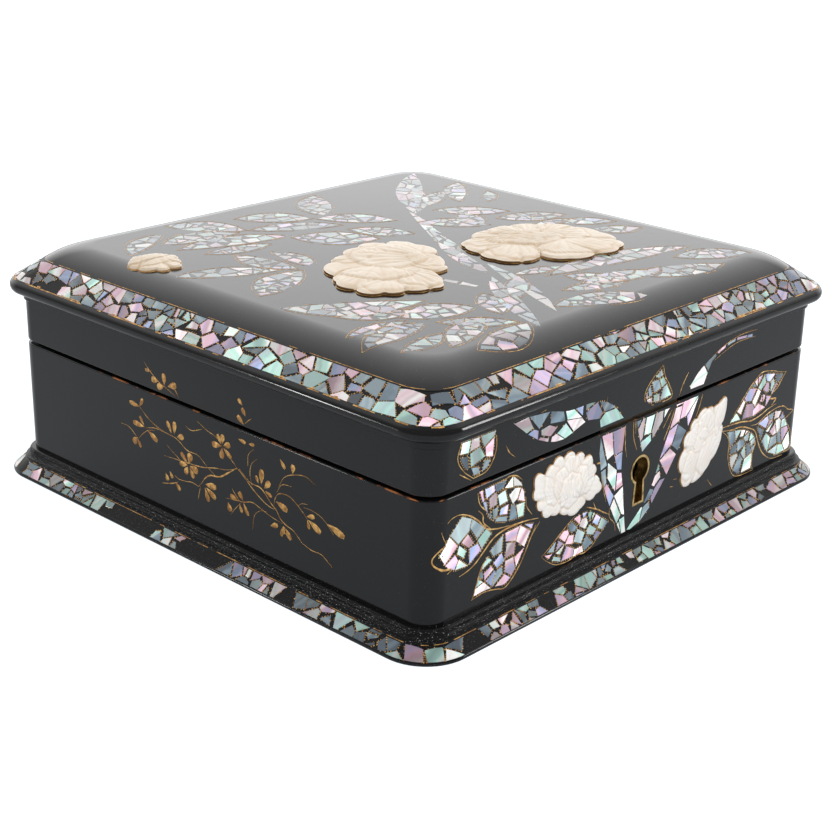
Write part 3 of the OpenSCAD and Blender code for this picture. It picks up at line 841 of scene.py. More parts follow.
class Gilding:
    """Collects gilt lines, petals and dots as low closed ridges, plates and domes."""

    # Depth of the root below the surface, heights, and points along each side of a petal
    ROOT, DOT_H, PETAL_H, PETAL_N = 0.05, 0.11, 0.08, 9
    # Share of a stroke over which each end tapers; how often, per mm, its width and its wear change
    TAPER, WAVER, PATCH = 0.3, 0.45, 0.16

    def __init__(self):
        self.bm = bmesh.new()

    def dot(self, centre, across, up, r):
        """A low six-sided cone."""
        side = up.cross(across).normalized()
        turns = [i * math.pi / 3 for i in range(6)]
        spokes = [(across * math.cos(a) + side * math.sin(a)) * r for a in turns]
        rim = [self.bm.verts.new(centre + spoke - up * 0.3 * self.ROOT) for spoke in spokes]
        tip = self.bm.verts.new(centre + up * self.DOT_H)
        root = self.bm.verts.new(centre - up * 1.5 * self.ROOT)
        for i in range(6):
            self.bm.faces.new((rim[i], rim[(i + 1) % 6], tip))
            self.bm.faces.new((rim[(i + 1) % 6], rim[i], root))

    def line(self, path, width, h=0.07, taper=True, wear=0.0):
        """A ridge along [(point, up)], worn through in places where wear is above 0."""
        run, last = [], len(path) - 1
        for i, (p, up) in enumerate(path):
            side = up.cross(path[min(last, i + 1)][0] - path[max(0, i - 1)][0])
            if side.length < 1e-6:
                continue
            end = min(1, min(i, last - i) / max(1, last * self.TAPER)) if taper else 1
            uneven = 0.8 + 0.45 * noise.noise(p * self.WAVER + Vector((7, 3, 1)))
            if wear and noise.noise(p * self.PATCH + Vector((2, 9, 4))) < -0.75 + wear:
                self.strip(run, h)
                run = []
                continue
            run.append((p, up, side.normalized() * width * (0.3 + 0.7 * end) * uneven / 2))
        self.strip(run, h)

    def strip(self, run, h):
        """One unbroken length of a ridge, through (point, up, half width sideways)."""
        if len(run) < 2:
            return
        rows = []
        for p, up, side in run:
            low, high = p - up * self.ROOT, p + up * h
            row = (low - side, low + side, high + side * 0.5, high - side * 0.5)
            rows.append([self.bm.verts.new(v) for v in row])
        for a, b in zip(rows, rows[1:]):
            skin(self.bm, a, b)
        self.bm.faces.new(rows[0])
        self.bm.faces.new(list(reversed(rows[-1])))

    def stroke(self, points, width, place, taper=True, wear=0.0):
        """A brush stroke through flat points on a face of the case."""
        up = upwards(place)
        self.line([(place(*p), up) for p in smooth_path(points, 0.6)], width, taper=taper, wear=wear)

    def petal(self, root, tip, width, place):
        """A teardrop laid down with one press of the brush."""
        a, b, n = Vector(root), Vector(tip), self.PETAL_N
        side = Vector((a.y - b.y, b.x - a.x)).normalized()
        edge = []
        for s in (1, -1):
            for i in range(n):
                t = (i + (s < 0)) / n
                t = t if s > 0 else 1 - t
                swell = math.sin(math.pi * t ** 1.35) ** 0.75 if 0 < t < 1 else 0.0
                edge.append(a.lerp(b, t) + side * s * (width / 2) * max(swell, 0.06))
        c = a.lerp(b, 0.55)
        low = [self.bm.verts.new(place(*p, -self.ROOT)) for p in edge]
        high = [self.bm.verts.new(place(*(c + (p - c) * 0.86), self.PETAL_H)) for p in edge]
        skin(self.bm, low, high)
        self.bm.faces.new(high)
        self.bm.faces.new(list(reversed(low)))

    def finish(self, name, body, slot, material=GILT):
        """Make the piece."""
        return new_object(name, to_mesh(name, self.bm, 45.0, merge=1e-5), material, body, slot=slot)


# Gold dots: their pitch along a chip's edge, distance from it, least distance and gap to the chips
DOT_PITCH, DOT_REACH, DOT_APART, DOT_CLEAR = 1.0, 0.36, 0.75, 0.02


def dotted_grout(gilding, pieces, place, inside, rng, share, r=0.33):
    """Rows of gold dots in the black round each chip of shell."""
    known = []
    for poly in pieces:
        c = middle(poly)
        known.append((edges_of(poly), c, max(math.dist(p, c) for p in poly)))
    taken = set()

    def free(p):
        """Whether a point lies clear of every chip."""
        gap = DOT_CLEAR
        return not any(
            math.dist(p, c) < far + gap and all(n[0] * p[0] + n[1] * p[1] - d < gap for n, d in edges)
            for edges, c, far in known
        )

    across = (place(1, 0, 0) - place(0, 0, 0)).normalized()
    for poly in pieces:
        ring_out = shrink(poly, -DOT_REACH)
        for a, b in zip(ring_out, ring_out[1:] + ring_out[:1]):
            count = int(math.dist(a, b) / DOT_PITCH)
            for i in range(count):
                t = (i + 0.5) / count
                p = (a[0] + (b[0] - a[0]) * t, a[1] + (b[1] - a[1]) * t)
                key = (round(p[0] / DOT_APART), round(p[1] / DOT_APART))
                if key in taken or rng.random() > share or not inside(p) or not free(p):
                    continue
                taken.add(key)
                gilding.dot(place(*p), across, upwards(place, p), r * rng.uniform(0.7, 1.2))


# ---------------------------------------------------------------- shell bands on the sloping mouldings
class Band:
    """A sloping band round the case, described by its offset out from the wall at a point in plan."""

    def __init__(self, offset, height, span, slope):
        self.offset, self.height, self.span, self.slope = offset, height, span, slope

    def outward(self, x, y):
        """Gradient of the offset in plan."""
        e = 0.02
        gx = (self.offset(x + e, y) - self.offset(x - e, y)) / (2 * e)
        gy = (self.offset(x, y + e) - self.offset(x, y - e)) / (2 * e)
        return Vector((gx, gy, 0))

    def normal(self, x, y):
        """The way out of the band's surface."""
        g = self.outward(x, y) * math.tan(self.slope)
        return Vector((g.x, g.y, 1)).normalized()

    def land(self, x, y, margin):
        """The nearest point of the band, in plan, that keeps a margin from its edges."""
        low, high = self.span[0] + margin, self.span[1] - margin
        for _ in range(2):
            o = self.offset(x, y)
            g = self.outward(x, y)
            d = (min(high, max(low, o)) - o) / g.length_squared
            x, y = x + g.x * d, y + g.y * d
        return x, y

    def surface(self, x, y, h=0.0):
        """The band's point over a point in plan, moved out from it by h."""
        o = min(self.span[1] + 1, max(self.span[0] - 1, self.offset(x, y)))
        return Vector((x, y, self.height(o))) + self.normal(x, y) * h


def rim_offset(x, y):
    """Offset on the rim, whose corners keep one radius from the nose to the flat of the lid."""
    u, v = abs(x) - HALF_W + RIM_CORNER_R, abs(y) - HALF_D + RIM_CORNER_R
    flat = max(u, v) - RIM_CORNER_R
    if min(u, v) <= flat:
        return flat
    return (u + v - math.sqrt(max(0.0, (u + v) ** 2 - 2 * (u * u + v * v - RIM_CORNER_R ** 2)))) / 2


def plinth_offset(x, y):
    """Offset on the plinth, whose corners share the centres of the case's corners."""
    u, v = abs(x) - HALF_W + WALL_T, abs(y) - HALF_D + WALL_T
    return (math.hypot(u, v) if min(u, v) > 0 else max(u, v)) - WALL_T


# How much longer along a band than across it the chips are, and how much painted shade darkens them at the
# far right
SQUAT, RIGHT_PAINTED_SHADE = 1.3, 0.35
# How often a place for a chip is tried, the chips' sizes as shares of the spacing, and the black gap
BAND_TRIES, LEAF_TRIES = 26000, 700
BAND_SIZES = (0.55, 0.75, 0.95, 1.1, 1.3)
LEAF_SIZES = (0.55, 0.75, 0.95, 1.15, 1.35)
BAND_GAP, LEAF_GAP, ARM_GAP = 0.95, 1.0, 0.65


def band_seeds(band, rng, spacing):
    """Seeds of the chips, scattered over the band's four sides."""
    seeds = Scatter()
    low, high = band.span
    for _ in range(BAND_TRIES):
        side, o = rng.randrange(4), rng.uniform(low + 0.5, high - 0.5)
        run = rng.uniform(-1, 1) * (HALF_W + 6)
        far = (HALF_W, HALF_D)[side % 2] + o
        x, y = (far, run) if side % 2 == 0 else (run, far)
        x, y = (-x, y) if side == 2 else (x, -y if side == 3 else y)
        if low + 0.4 < band.offset(x, y) < high - 0.4:
            seeds.add(tuple(band.surface(x, y)), spacing * rng.choice(BAND_SIZES))
    return seeds


def worn_away(p, seed, share):
    """Whether a place lies in one of the patches that have lost their chips."""
    return noise.noise(Vector(p) * 0.026 + Vector((seed, 0, 0))) < -1 + share


def band_chips(name, body, replaced, band, spacing, seed, lost, lines, light):
    """The chips of one band, its gold dots, and the gilt lines along it: offset, width and wear.
    The chips' painted light is light, and painted shade makes them darker towards the right."""
    rng, chips, gilding = random.Random(seed), Chips(seed, light), Gilding()
    seeds = band_seeds(band, rng, spacing)
    for p, keep in seeds.points:
        here = Vector(p)
        up = band.normal(here.x, here.y)
        down = band.outward(here.x, here.y).normalized()
        down = (down - up * down.dot(up)).normalized()
        along = up.cross(down)
        others = []
        for q, other in seeds.near(p):
            d = Vector(q) - here
            others.append(((d.dot(down) * SQUAT, d.dot(along)), other))
        o = band.offset(here.x, here.y)
        limits = [SQUAT * (far / math.cos(band.slope) - 0.1) for far in (band.span[1] - o, o - band.span[0])]

        def trim(poly):
            return clip(clip(poly, (1, 0), limits[0]), (-1, 0), limits[1])

        def place(a, b, h=0.0):
            flat = here + down * (a / SQUAT) + along * b
            return band.surface(*band.land(flat.x, flat.y, 0.12), h)

        pieces = shards_round(rng, keep, others, BAND_GAP, trim)
        if lost(here, rng):
            continue
        # Painted light and shade: the band's brightness factor, cut down by painted shade towards the right.
        chips.light = light * (1 - RIGHT_PAINTED_SHADE * max(0, here.x / HALF_W))
        for poly in pieces:
            chips.add(poly, place)
        dotted_grout(gilding, pieces, place, lambda f: -limits[1] < f[0] < limits[0], rng, share=0.5, r=0.28)
    for o, width, wear in lines:
        path = []
        for spot in edge_ring(band, o):
            path.append((band.surface(*spot), band.normal(*spot)))
        gilding.line(path, width, h=0.06, taper=False, wear=wear)
    chips.finish(f"{name}_chips", body, replaced)
    gilding.finish(f"{name}_gilding", body, "abalone")


def edge_ring(band, o, step=1.0):
    """Evenly spaced points in plan round the case, at one offset."""
    corners = [Vector((p.x, p.y)) for p in ring(o, 0, band_radius(band, o))]
    out = []
    for a, b in zip(corners, corners[1:] + corners[:1]):
        n = max(1, int((b - a).length / step))
        out += [tuple(a.lerp(b, i / n)) for i in range(n)]
    return out + out[:1]


def band_radius(band, o):
    """Corner radius of the band at an offset."""
    return RIM_CORNER_R if band.offset is rim_offset else WALL_T + o


def rim_lost(p, rng):
    """A chip here and there has come out, most of them towards the back of the left side."""
    return rng.random() < (0.22 if p.x < -HALF_W and p.y > 0.55 * HALF_D else 0.02)


# Stretches of y where the plinth's left side has kept its shell
LEFT_KEPT = ((-HALF_D, -20), (3, 19), (50, 106))


def plinth_lost(p, rng):
    """The plinth's shell has come away along parts of the left side and at the corners."""
    if p.x < -HALF_W and abs(p.y) < HALF_D:
        return not any(low < p.y < high for low, high in LEFT_KEPT) or rng.random() < 0.06
    if p.x < -HALF_W and p.x + p.y < 6 - HALF_W - HALF_D and rng.random() < 0.75:
        return True
    return worn_away(p, 5.0, 0.62) or rng.random() < 0.10


# ---------------------------------------------------------------- flat faces that carry ornament
def on_front(u, v, h=0.0):
    """A place on the front, which carries on round the case's rounded corners."""
    past = max(0.0, min(0.98 * WALL_T, abs(u) - HALF_W + WALL_T))
    turn = math.asin(past / WALL_T)
    x = min(abs(u), HALF_W - WALL_T) + (WALL_T + h) * math.sin(turn)
    return Vector((math.copysign(x, u), WALL_T - HALF_D - (WALL_T + h) * math.cos(turn), v))


def on_top(u, v, h=0.0):
    """A place on the lid's flat, or on the rounded shoulder beside it."""
    past = max(0.0, rim_offset(u, v) - FLAT_O)
    return Vector((u, v, TOP - SHOULDER_R + math.sqrt(SHOULDER_R ** 2 - past ** 2) + h))


def on_left(u, v, h=0.0):
    """A place on the left side, u towards the front."""
    return Vector((-HALF_W - h, -u, v))


def on_right(u, v, h=0.0):
    """A place on the right side, u towards the back."""
    return Vector((HALF_W + h, u, v))


def smooth_path(points, step):
    """A curve through the points, as evenly spaced points."""
    before = tuple(2 * a - b for a, b in zip(points[0], points[1]))
    after = tuple(2 * a - b for a, b in zip(points[-1], points[-2]))
    pts = [Vector(p) for p in (before, *points, after)]
    out = []
    for p0, p1, p2, p3 in zip(pts, pts[1:], pts[2:], pts[3:]):
        n = max(1, int((p2 - p1).length / step))
        for t in (k / n for k in range(n)):
            a, b, c = p2 - p0, 2 * p0 - 5 * p1 + 4 * p2 - p3, 3 * p1 - p0 - 3 * p2 + p3
            out.append(tuple(0.5 * (2 * p1 + a * t + b * t * t + c * t ** 3)))
    return out + [tuple(points[-1])]


def outline(side_a, side_b):
    """Counter-clockwise outline between two sides that run from the same root to the same tip."""
    poly = smooth_path(side_a, 1.2) + list(reversed(smooth_path(side_b, 1.2)))
    poly = [p for i, p in enumerate(poly) if math.dist(p, poly[i - 1]) > 0.05]
    return poly if area(poly) > 0 else list(reversed(poly))


def shrink(poly, by):
    """A counter-clockwise outline moved inwards, point by point."""
    out = []
    for i, p in enumerate(poly):
        a, b = poly[i - 1], poly[(i + 1) % len(poly)]
        t = Vector((b[0] - a[0], b[1] - a[1]))
        if t.length > 1e-6:
            t.normalize()
            out.append((p[0] - t.y * by, p[1] + t.x * by))
    return out


def within(poly, p):
    """Whether a point lies inside an outline."""
    inside = False
    for a, b in zip(poly, poly[1:] + poly[:1]):
        if (a[1] > p[1]) != (b[1] > p[1]) and p[0] < (b[0] - a[0]) * (p[1] - a[1]) / (b[1] - a[1]) + a[0]:
            inside = not inside
    return inside


RIM = Band(rim_offset, rim_z, RIM_BAND, RIM_SLOPE)
PLINTH = Band(plinth_offset, plinth_z, PLINTH_BAND, PLINTH_SLOPE)
rim_lines = [
    (RIM_BAND[0] - 0.35, 0.38, 0.40),
    (RIM_BAND[1] + 0.15, 0.6, 0.68),
    (RIM_BAND[1] - 0.35, 0.8, 1.02),
]
plinth_lines = [(PLINTH_BAND[0] - 0.2, 0.4, 0.70)]
# The last number of each band is its painted light: a brightness factor for its chips that stands in for how
# the band is lit.
band_chips("rim_band", "lid", sides("lid_shell"), RIM, 6.5, 11, rim_lost, rim_lines, 0.66)
band_chips("plinth_band", "base", sides("plinth_shell"), PLINTH, 5.6, 41, plinth_lost, plinth_lines, 0.57)


def inlay(chips, gilding, poly, place, spacing, edge, dots, margin, way=0.0, stretch=1.0):
    """A leaf or arm of shell chips, with gold dots and a gilt outline edge wide.
    Where stretch is above 1 the chips are long, in the direction way."""
    rng = chips.rng
    c, s = math.cos(way), math.sin(way)

    def squeeze(p):
        return (p[0] * c + p[1] * s) / stretch, -p[0] * s + p[1] * c

    def unsqueeze(p):
        x = p[0] * stretch
        return x * c - p[1] * s, x * s + p[1] * c

    region = [squeeze(p) for p in shrink(poly, margin)]
    bounds = [(min(v), max(v)) for v in zip(*region)]
    seeds = Scatter()
    for _ in range(LEAF_TRIES):
        p = tuple(rng.uniform(*b) for b in bounds)
        if within(region, p):
            seeds.add(p, spacing * rng.choice(LEAF_SIZES))
    pieces = []
    for p, keep in seeds.points:
        others = [((q[0] - p[0], q[1] - p[1]), other) for q, other in seeds.near(p)]
        local = [(q[0] - p[0], q[1] - p[1]) for q in region]

        def trim(cell):
            part = local
            for n, d in edges_of(cell):
                part = clip(part, n, d)
            return part

        gap = LEAF_GAP if stretch == 1.0 else ARM_GAP
        for shard in shards_round(rng, keep, others, gap, trim):
            pieces.append([unsqueeze((q[0] + p[0], q[1] + p[1])) for q in shard])
    for piece in pieces:
        chips.add(piece, place)
    if edge:
        up = upwards(place)
        gilding.line([(place(*p), up) for p in poly + poly[:1]], edge, taper=False, wear=0.42)
    if dots:
        dotted_grout(gilding, pieces, place, lambda p: within(poly, p), rng, share=dots)


# Front of the base, x and z: each leaf's two sides from root to tip
FRONT_LEAVES = [
    ([(-66, 36), (-78, 37), (-85, 40.5), (-89, 47), (-92, 54)],
     [(-66, 36), (-66, 44), (-68, 50), (-73, 54.6)]),
    ([(-82, 36), (-88, 41), (-93, 45), (-100, 47.6), (-106, 41.6), (-110.6, 35)],
     [(-82, 36), (-87, 31.5), (-93, 27.5), (-99, 26.5), (-105.4, 29), (-110.6, 35)]),
    ([(-60, 33), (-72, 35), (-82, 32.5), (-88, 26), (-91, 20), (-93, 14)],
     [(-60, 33), (-65, 24.5), (-69, 18), (-75, 13), (-83, 14), (-93, 14)]),
    ([(-56, 17.2), (-47, 22.8), (-38, 27.6), (-29, 27.5), (-22, 23), (-16, 19)],
     [(-56, 17.2), (-48, 11.6), (-40, 10.6), (-31, 10.6), (-23, 14), (-16, 19)]),
    ([(57, 36), (64, 41.6), (71, 48.4), (79, 52.5), (89, 51), (98, 48.6)],
     [(57, 36), (67, 35.2), (77, 34.2), (85, 36), (91, 42), (98, 48.6)]),
    ([(78, 30.8), (83, 22.5), (88, 15.5), (95, 11.8), (102, 11.5), (109, 12)],
     [(78, 30.8), (90, 33.3), (98, 32.6), (104, 25), (107, 18.5), (109, 12)]),
    ([(57, 34), (60.3, 26), (61, 18.5), (65, 13), (71, 11), (79, 10.8)],
     [(57, 34), (68, 32.4), (76, 29), (80.5, 24), (79, 16), (79, 10.8)]),
]
FRONT_ARMS = [
    ([(-9.5, 10.8), (-15, 20), (-20, 29), (-24, 39), (-26, 48), (-26.5, 54.8)],
     [(-6.5, 10.8), (-8, 20), (-9.5, 29), (-11.5, 38), (-11.5, 47), (-11, 54.8)]),
    ([(-7, 11), (-1, 15.6), (4, 20), (9, 27), (13, 37), (18, 47), (21, 54.8)],
     [(-4, 10.8), (4, 13), (11, 19), (18, 27), (25, 36), (31, 45), (36, 54.8)]),
    ([(0.5, 41), (-1.5, 46), (-3, 50), (-4.5, 54.8)], [(0.5, 41), (6, 44), (11, 48.5), (17, 54.8)]),
]
LID_FRONT = [
    ([(-94, 59), (-99, 63), (-102, 68), (-100, 74)], [(-94, 59), (-87, 60), (-83, 66), (-83.5, 74)]),
    ([(7, 58.2), (1, 60), (0, 65), (5, 70), (10, 73)], [(7, 58.2), (17, 58.8), (15, 64), (12, 68), (10, 73)]),
]
LID_ARMS = [
    ([(-75, 73), (-60, 73.3), (-45, 70), (-32, 69.5), (-23, 67.5), (-15, 62), (-12.5, 58)],
     [(-70, 69), (-63, 64), (-53, 60), (-45, 59.6), (-36, 62.5), (-28, 62), (-26, 58)]),
    ([(27, 58.2), (31, 62.5), (36, 66), (42, 68.5), (48, 70.8), (58, 72.6), (70, 71.6)],
     [(38, 58.2), (40, 62), (42, 65.5), (44, 67.3), (50, 69.6), (58, 71), (70, 70)]),
]
# Brush strokes of gold on the front of the base: width, then points
FRONT_STROKES = [
    (1.0, [(-59, 33.5), (-66, 34.6), (-75, 35), (-82, 33.8), (-87, 30.5), (-91, 27.5), (-95, 25.8),
           (-99.5, 25)]),
    (0.8, [(-106, 46.5), (-104, 47.6), (-100, 47.8), (-95, 45.8), (-90.5, 42.5), (-87, 38.8),
           (-82, 36.8), (-74, 35.6)]),
    (1.0, [(-105, 39.3), (-108.6, 37.6), (-111, 35), (-110.6, 32.4), (-107.2, 30), (-103, 29.3),
           (-105.5, 28)]),
    (0.5, [(-108.5, 44), (-107, 40.5), (-105, 39)]),
    (0.6, [(-91.5, 53), (-90.5, 49), (-88.5, 46.5), (-86, 44.5)]),
    (0.7, [(-91, 46.5), (-88.5, 44), (-88, 41), (-84, 37.5)]),
    (0.5, [(-79, 53), (-75.5, 54.2), (-71.5, 53.2), (-68.6, 50.8)]),
    (0.45, [(-66.3, 43.8), (-66, 41), (-65, 39), (-62.5, 36)]),
    (0.6, [(-58, 31.8), (-62, 28), (-65, 23), (-68, 18.5), (-72, 14.5), (-76, 12.4), (-80, 13.4),
           (-86, 14.5), (-93, 13.9)]),
    (0.3, [(-60, 31.5), (-63.5, 26), (-67, 20), (-71, 16)]),
    (0.6, [(-92.5, 14), (-91, 17.5), (-89.5, 22), (-87.5, 25.5), (-84.5, 27.5)]),
    (0.5, [(-56, 17.5), (-52, 19.5), (-47, 22.5), (-42, 25.5), (-38, 27.5)]),
    (0.5, [(-56, 17.2), (-52, 14), (-47, 11.3), (-40, 10.6), (-36, 11.6), (-32, 10.7), (-27, 12),
           (-23, 15), (-20, 17)]),
    (0.8, [(-31.5, 29), (-25, 26), (-20, 23), (-17, 21.5)]),
    (0.4, [(-27.5, 29.5), (-25.5, 26)]),
    (0.5, [(-17.5, 24), (-17.2, 20.5), (-14, 17), (-13, 13.5)]),
    (0.9, [(-27, 44.5), (-25.7, 44.4), (-24.5, 44)]),
    (0.4, [(-24, 40), (-22, 33), (-20, 27.5)]),
    (0.6, [(-6, 55), (-5.5, 49), (-3, 43)]),
    (0.4, [(-4.8, 55), (-4.3, 50)]),
    (0.4, [(-11, 55), (-10.3, 47), (-9, 42)]),
    (0.6, [(20, 53.5), (17, 47), (14, 42)]),
    (0.4, [(18, 53.5), (13, 47)]),
    (0.6, [(38, 54.5), (36.5, 50), (34.5, 46)]),
    (0.5, [(20.5, 21), (23, 20.4)]),
    (0.4, [(22.5, 23.5), (25, 23)]),
    (0.5, [(46.5, 16.2), (50, 12.5)]),
    (0.8, [(53.5, 36), (60, 35.6), (68, 34.8), (75, 33.4), (82, 34), (87, 35.3), (93, 36)]),
    (0.8, [(53, 34.8), (60, 33.4), (68, 32.6), (75, 30), (79, 27.5), (82, 22), (85, 17.5), (89, 14),
           (94, 11.5), (102, 10.8)]),
    (0.6, [(54, 34.5), (58, 31.5), (60, 28), (60, 23), (61, 19), (63, 15), (66, 12), (71, 10.8),
           (79.5, 10.6)]),
    (0.7, [(75, 31.3), (80, 30.8), (86, 32.8), (93, 33.9), (99, 33.4), (103, 31), (107, 29.6),
           (103, 27.8), (100, 27)]),
    (0.5, [(59.5, 37.5), (65, 42.5), (69, 46.5), (74, 50), (80, 52.8), (88, 51.5), (94, 49.6), (98.5, 48.6)]),
    (0.9, [(98, 48.5), (95, 45.5), (92.5, 43), (88, 41.2)]),
    (0.9, [(86.5, 39.8), (90, 39), (92.5, 38.4), (89.5, 36.2)]),
    (0.5, [(100, 27), (104, 24), (107, 19.5), (109.5, 13), (104, 11.8), (98, 12.6), (97, 14)]),
    (0.8, [(76, 22.8), (80, 22.6), (78, 18), (79, 12), (80, 10.6)]),
]
LID_STROKES = [
    (0.5, [(-60, 73), (-52, 74.2), (-45, 73.5)]),
    (0.5, [(-78, 66), (-76, 63), (-73, 60.5)]),
    (0.5, [(-101, 62.5), (-98, 60.5), (-95, 58.6)]),
    (0.4, [(-27, 62), (-24, 65), (-23, 69)]),
    (0.5, [(22, 58), (24, 62), (27, 66)]),
    (0.5, [(43, 68.8), (52, 71.6), (62, 73), (73, 72.6)]),
    (0.4, [(44, 66.6), (52, 69), (60, 70.4), (72, 70)]),
]
# Gold sprays on the lacquered sides, along the side and up: width, then points
SPRAY_STROKES = [
    (0.6, [(-24, 20.3), (-18, 22), (-14, 23.8)]),
    (0.5, [(-22, 32.2), (-15, 32.8), (-8, 33.4), (0, 34.2), (8, 36.2), (14, 37.4), (20, 39.6)]),
    (0.9, [(20, 40), (15, 36.5), (10, 33.4), (5, 32.4), (2, 30.5), (0, 28), (-2, 25.8)]),
    (0.5, [(-2, 25.8), (-6, 26.2), (-10, 25.4), (-14, 25.2), (-16, 26)]),
    (0.4, [(-0.5, 27), (-1.6, 24), (-2.5, 20.5)]),
    (0.5, [(20, 40), (24, 37.5), (29, 34), (35, 31), (39.5, 30.2), (41, 31)]),
    (0.7, [(21, 40), (27, 36.6), (33, 36), (38, 32), (41, 30), (43, 27.5), (46, 26), (50, 25), (54, 22)]),
    (0.4, [(54, 22), (59, 20.8), (64, 20.8), (69.5, 17.8)]),
    (0.5, [(-36, 48.2), (-31, 44.8), (-25, 42.6), (-20, 41.8), (-14, 41.2), (-8, 38.4), (-2, 38.3),
           (3, 35.5), (8, 33)]),
    (0.6, [(-33, 40.2), (-27, 41.8), (-20, 41.8)]),
    (0.5, [(-37.5, 34.6), (-34, 37.8), (-31, 39.8), (-27, 40.8)]),
    (0.35, [(-48, 38), (-43, 37.8), (-38, 34.8)]),
    (0.4, [(12, 46), (16, 43), (20, 40)]),
    (0.35, [(-2, 52), (3, 50), (9, 48.5), (12, 46)]),
    (0.45, [(-8.5, 48), (-5, 47.2), (1, 49.5)]),
    (0.4, [(28, 35.5), (27, 40), (28, 44), (31, 46.8)]),
    (0.4, [(26, 42.5), (26.3, 47), (29.5, 50.2)]),
    (0.5, [(39.5, 31), (40.5, 35), (43, 37.3), (48, 37.6), (53, 35), (57, 32)]),
    (0.35, [(41, 37), (44, 41), (49, 41.8)]),
    (0.4, [(42, 39), (45, 44), (50, 46.6), (56, 47.8), (61, 46.2)]),
    (0.35, [(52, 35.3), (54, 37), (57, 37.6)]),
    (0.35, [(55, 36), (60, 36), (65, 34.6), (70, 30.6)]),
    (0.5, [(13, 26), (18, 27), (23, 27.6), (28, 29), (33, 28), (38, 26.8), (44, 26)]),
    (0.45, [(22, 27), (19, 24), (16, 20.5)]),
    (0.4, [(17, 31), (19, 29), (21, 27.5)]),
    (0.35, [(28, 18.5), (29, 24), (32, 27), (36, 28)]),
    (0.35, [(-20, 37), (-15, 34.5), (-12, 33)]),
]
# Petals and leaves of the sprays: root, tip, width
SPRAY_PETALS = [
    ((-17, 42.5), (-20, 47.5), 2.2), ((-15.5, 42.5), (-15, 48.5), 2.4), ((-14, 42), (-9.5, 43.3), 2.6),
    ((-35.5, 48), (-43, 48.4), 2.0), ((-36, 48), (-33.5, 52.2), 1.8), ((-33, 40.5), (-41.5, 40.6), 2.4),
    ((-33.5, 41), (-36.5, 44.5), 1.6), ((-31.5, 39.5), (-25, 36.5), 2.6), ((-38, 35), (-41, 31.5), 3.0),
    ((-38, 34.5), (-35.8, 30.8), 1.8), ((-8, 33), (-12.5, 37), 2.2), ((-7.5, 33.3), (-6, 38.2), 3.4),
    ((-8, 32.5), (-13.5, 31.8), 2.4), ((-7, 32.5), (-1.5, 31.4), 3.2), ((-8, 32), (-10, 28), 2.6),
    ((-7, 32), (-4.5, 27.6), 2.4), ((1.5, 27.8), (9, 28.6), 2.8), ((2, 26.8), (8.5, 23.4), 2.6),
    ((1.5, 26.6), (3.8, 20.6), 2.4), ((12, 46.8), (12.5, 51.3), 2.4), ((12.5, 46.4), (17, 48), 2.6),
    ((11.6, 46), (5.5, 45.2), 2.6), ((11.9, 45.5), (11.5, 40.5), 2.8), ((12.6, 45.6), (17.5, 42.4), 2.2),
    ((11.6, 46.6), (9, 50.5), 2.0), ((20.5, 27), (15.2, 28.2), 2.2), ((23, 28), (20.3, 31.3), 2.4),
    ((20.8, 26.6), (22.5, 22.6), 1.6), ((23, 27.5), (26, 22.3), 2.0), ((14.5, 24.8), (16, 21), 2.8),
    ((-21.5, 25.3), (-20, 22), 2.2), ((-19, 26.7), (-17, 24), 1.8), ((-16, 23.3), (-12.5, 20.4), 2.0),
    ((33, 37.5), (33.3, 44.3), 2.8), ((31.5, 37.5), (30, 40.6), 1.6), ((34.5, 36.5), (38, 40.5), 2.6),
    ((35, 35.8), (39, 34.4), 1.6), ((40.5, 33.6), (47.5, 31.6), 2.8), ((37.5, 23), (42, 24.8), 2.2),
    ((44.5, 25.4), (43, 20.3), 1.8), ((44.5, 25.2), (49, 20.6), 2.4), ((44.5, 25.2), (45.5, 22), 2.0),
    ((56.5, 33), (61, 34.2), 2.0), ((57, 32), (64.5, 28.6), 2.8), ((56.8, 31.8), (58, 28), 1.6),
    ((66.5, 33.6), (76.5, 31), 3.0), ((21, 51.6), (25.5, 51), 1.6), ((26.5, 51.2), (30, 51.8), 1.4),
    ((43, 50.5), (46, 47), 1.8), ((49.5, 46.8), (49.8, 50.8), 2.4),
]
LID_SPRAY_STROKES = [
    (0.5, [(-32, 67), (-28, 63.8), (-23, 61), (-20, 60.2), (-14, 58.2)]),
    (0.45, [(-16, 62.5), (-13.5, 60), (-12, 58)]),
    (0.5, [(24.8, 58.4), (26.5, 60), (28.5, 61.4)]),
]
LID_SPRAY_PETALS = [
    ((-20.3, 60.6), (-20.6, 66), 2.6), ((-20.5, 60.4), (-25.2, 58.8), 2.8),
    ((-23.5, 61.6), (-28.6, 61.2), 2.8),
    ((-28, 64.4), (-32, 64), 1.6), ((-18.4, 60.8), (-12.6, 62.8), 2.8), ((24.2, 57.8), (20.2, 60.8), 2.2),
    ((25.2, 61.2), (23, 64.4), 2.0), ((23.6, 65), (21, 67.2), 1.8),
]
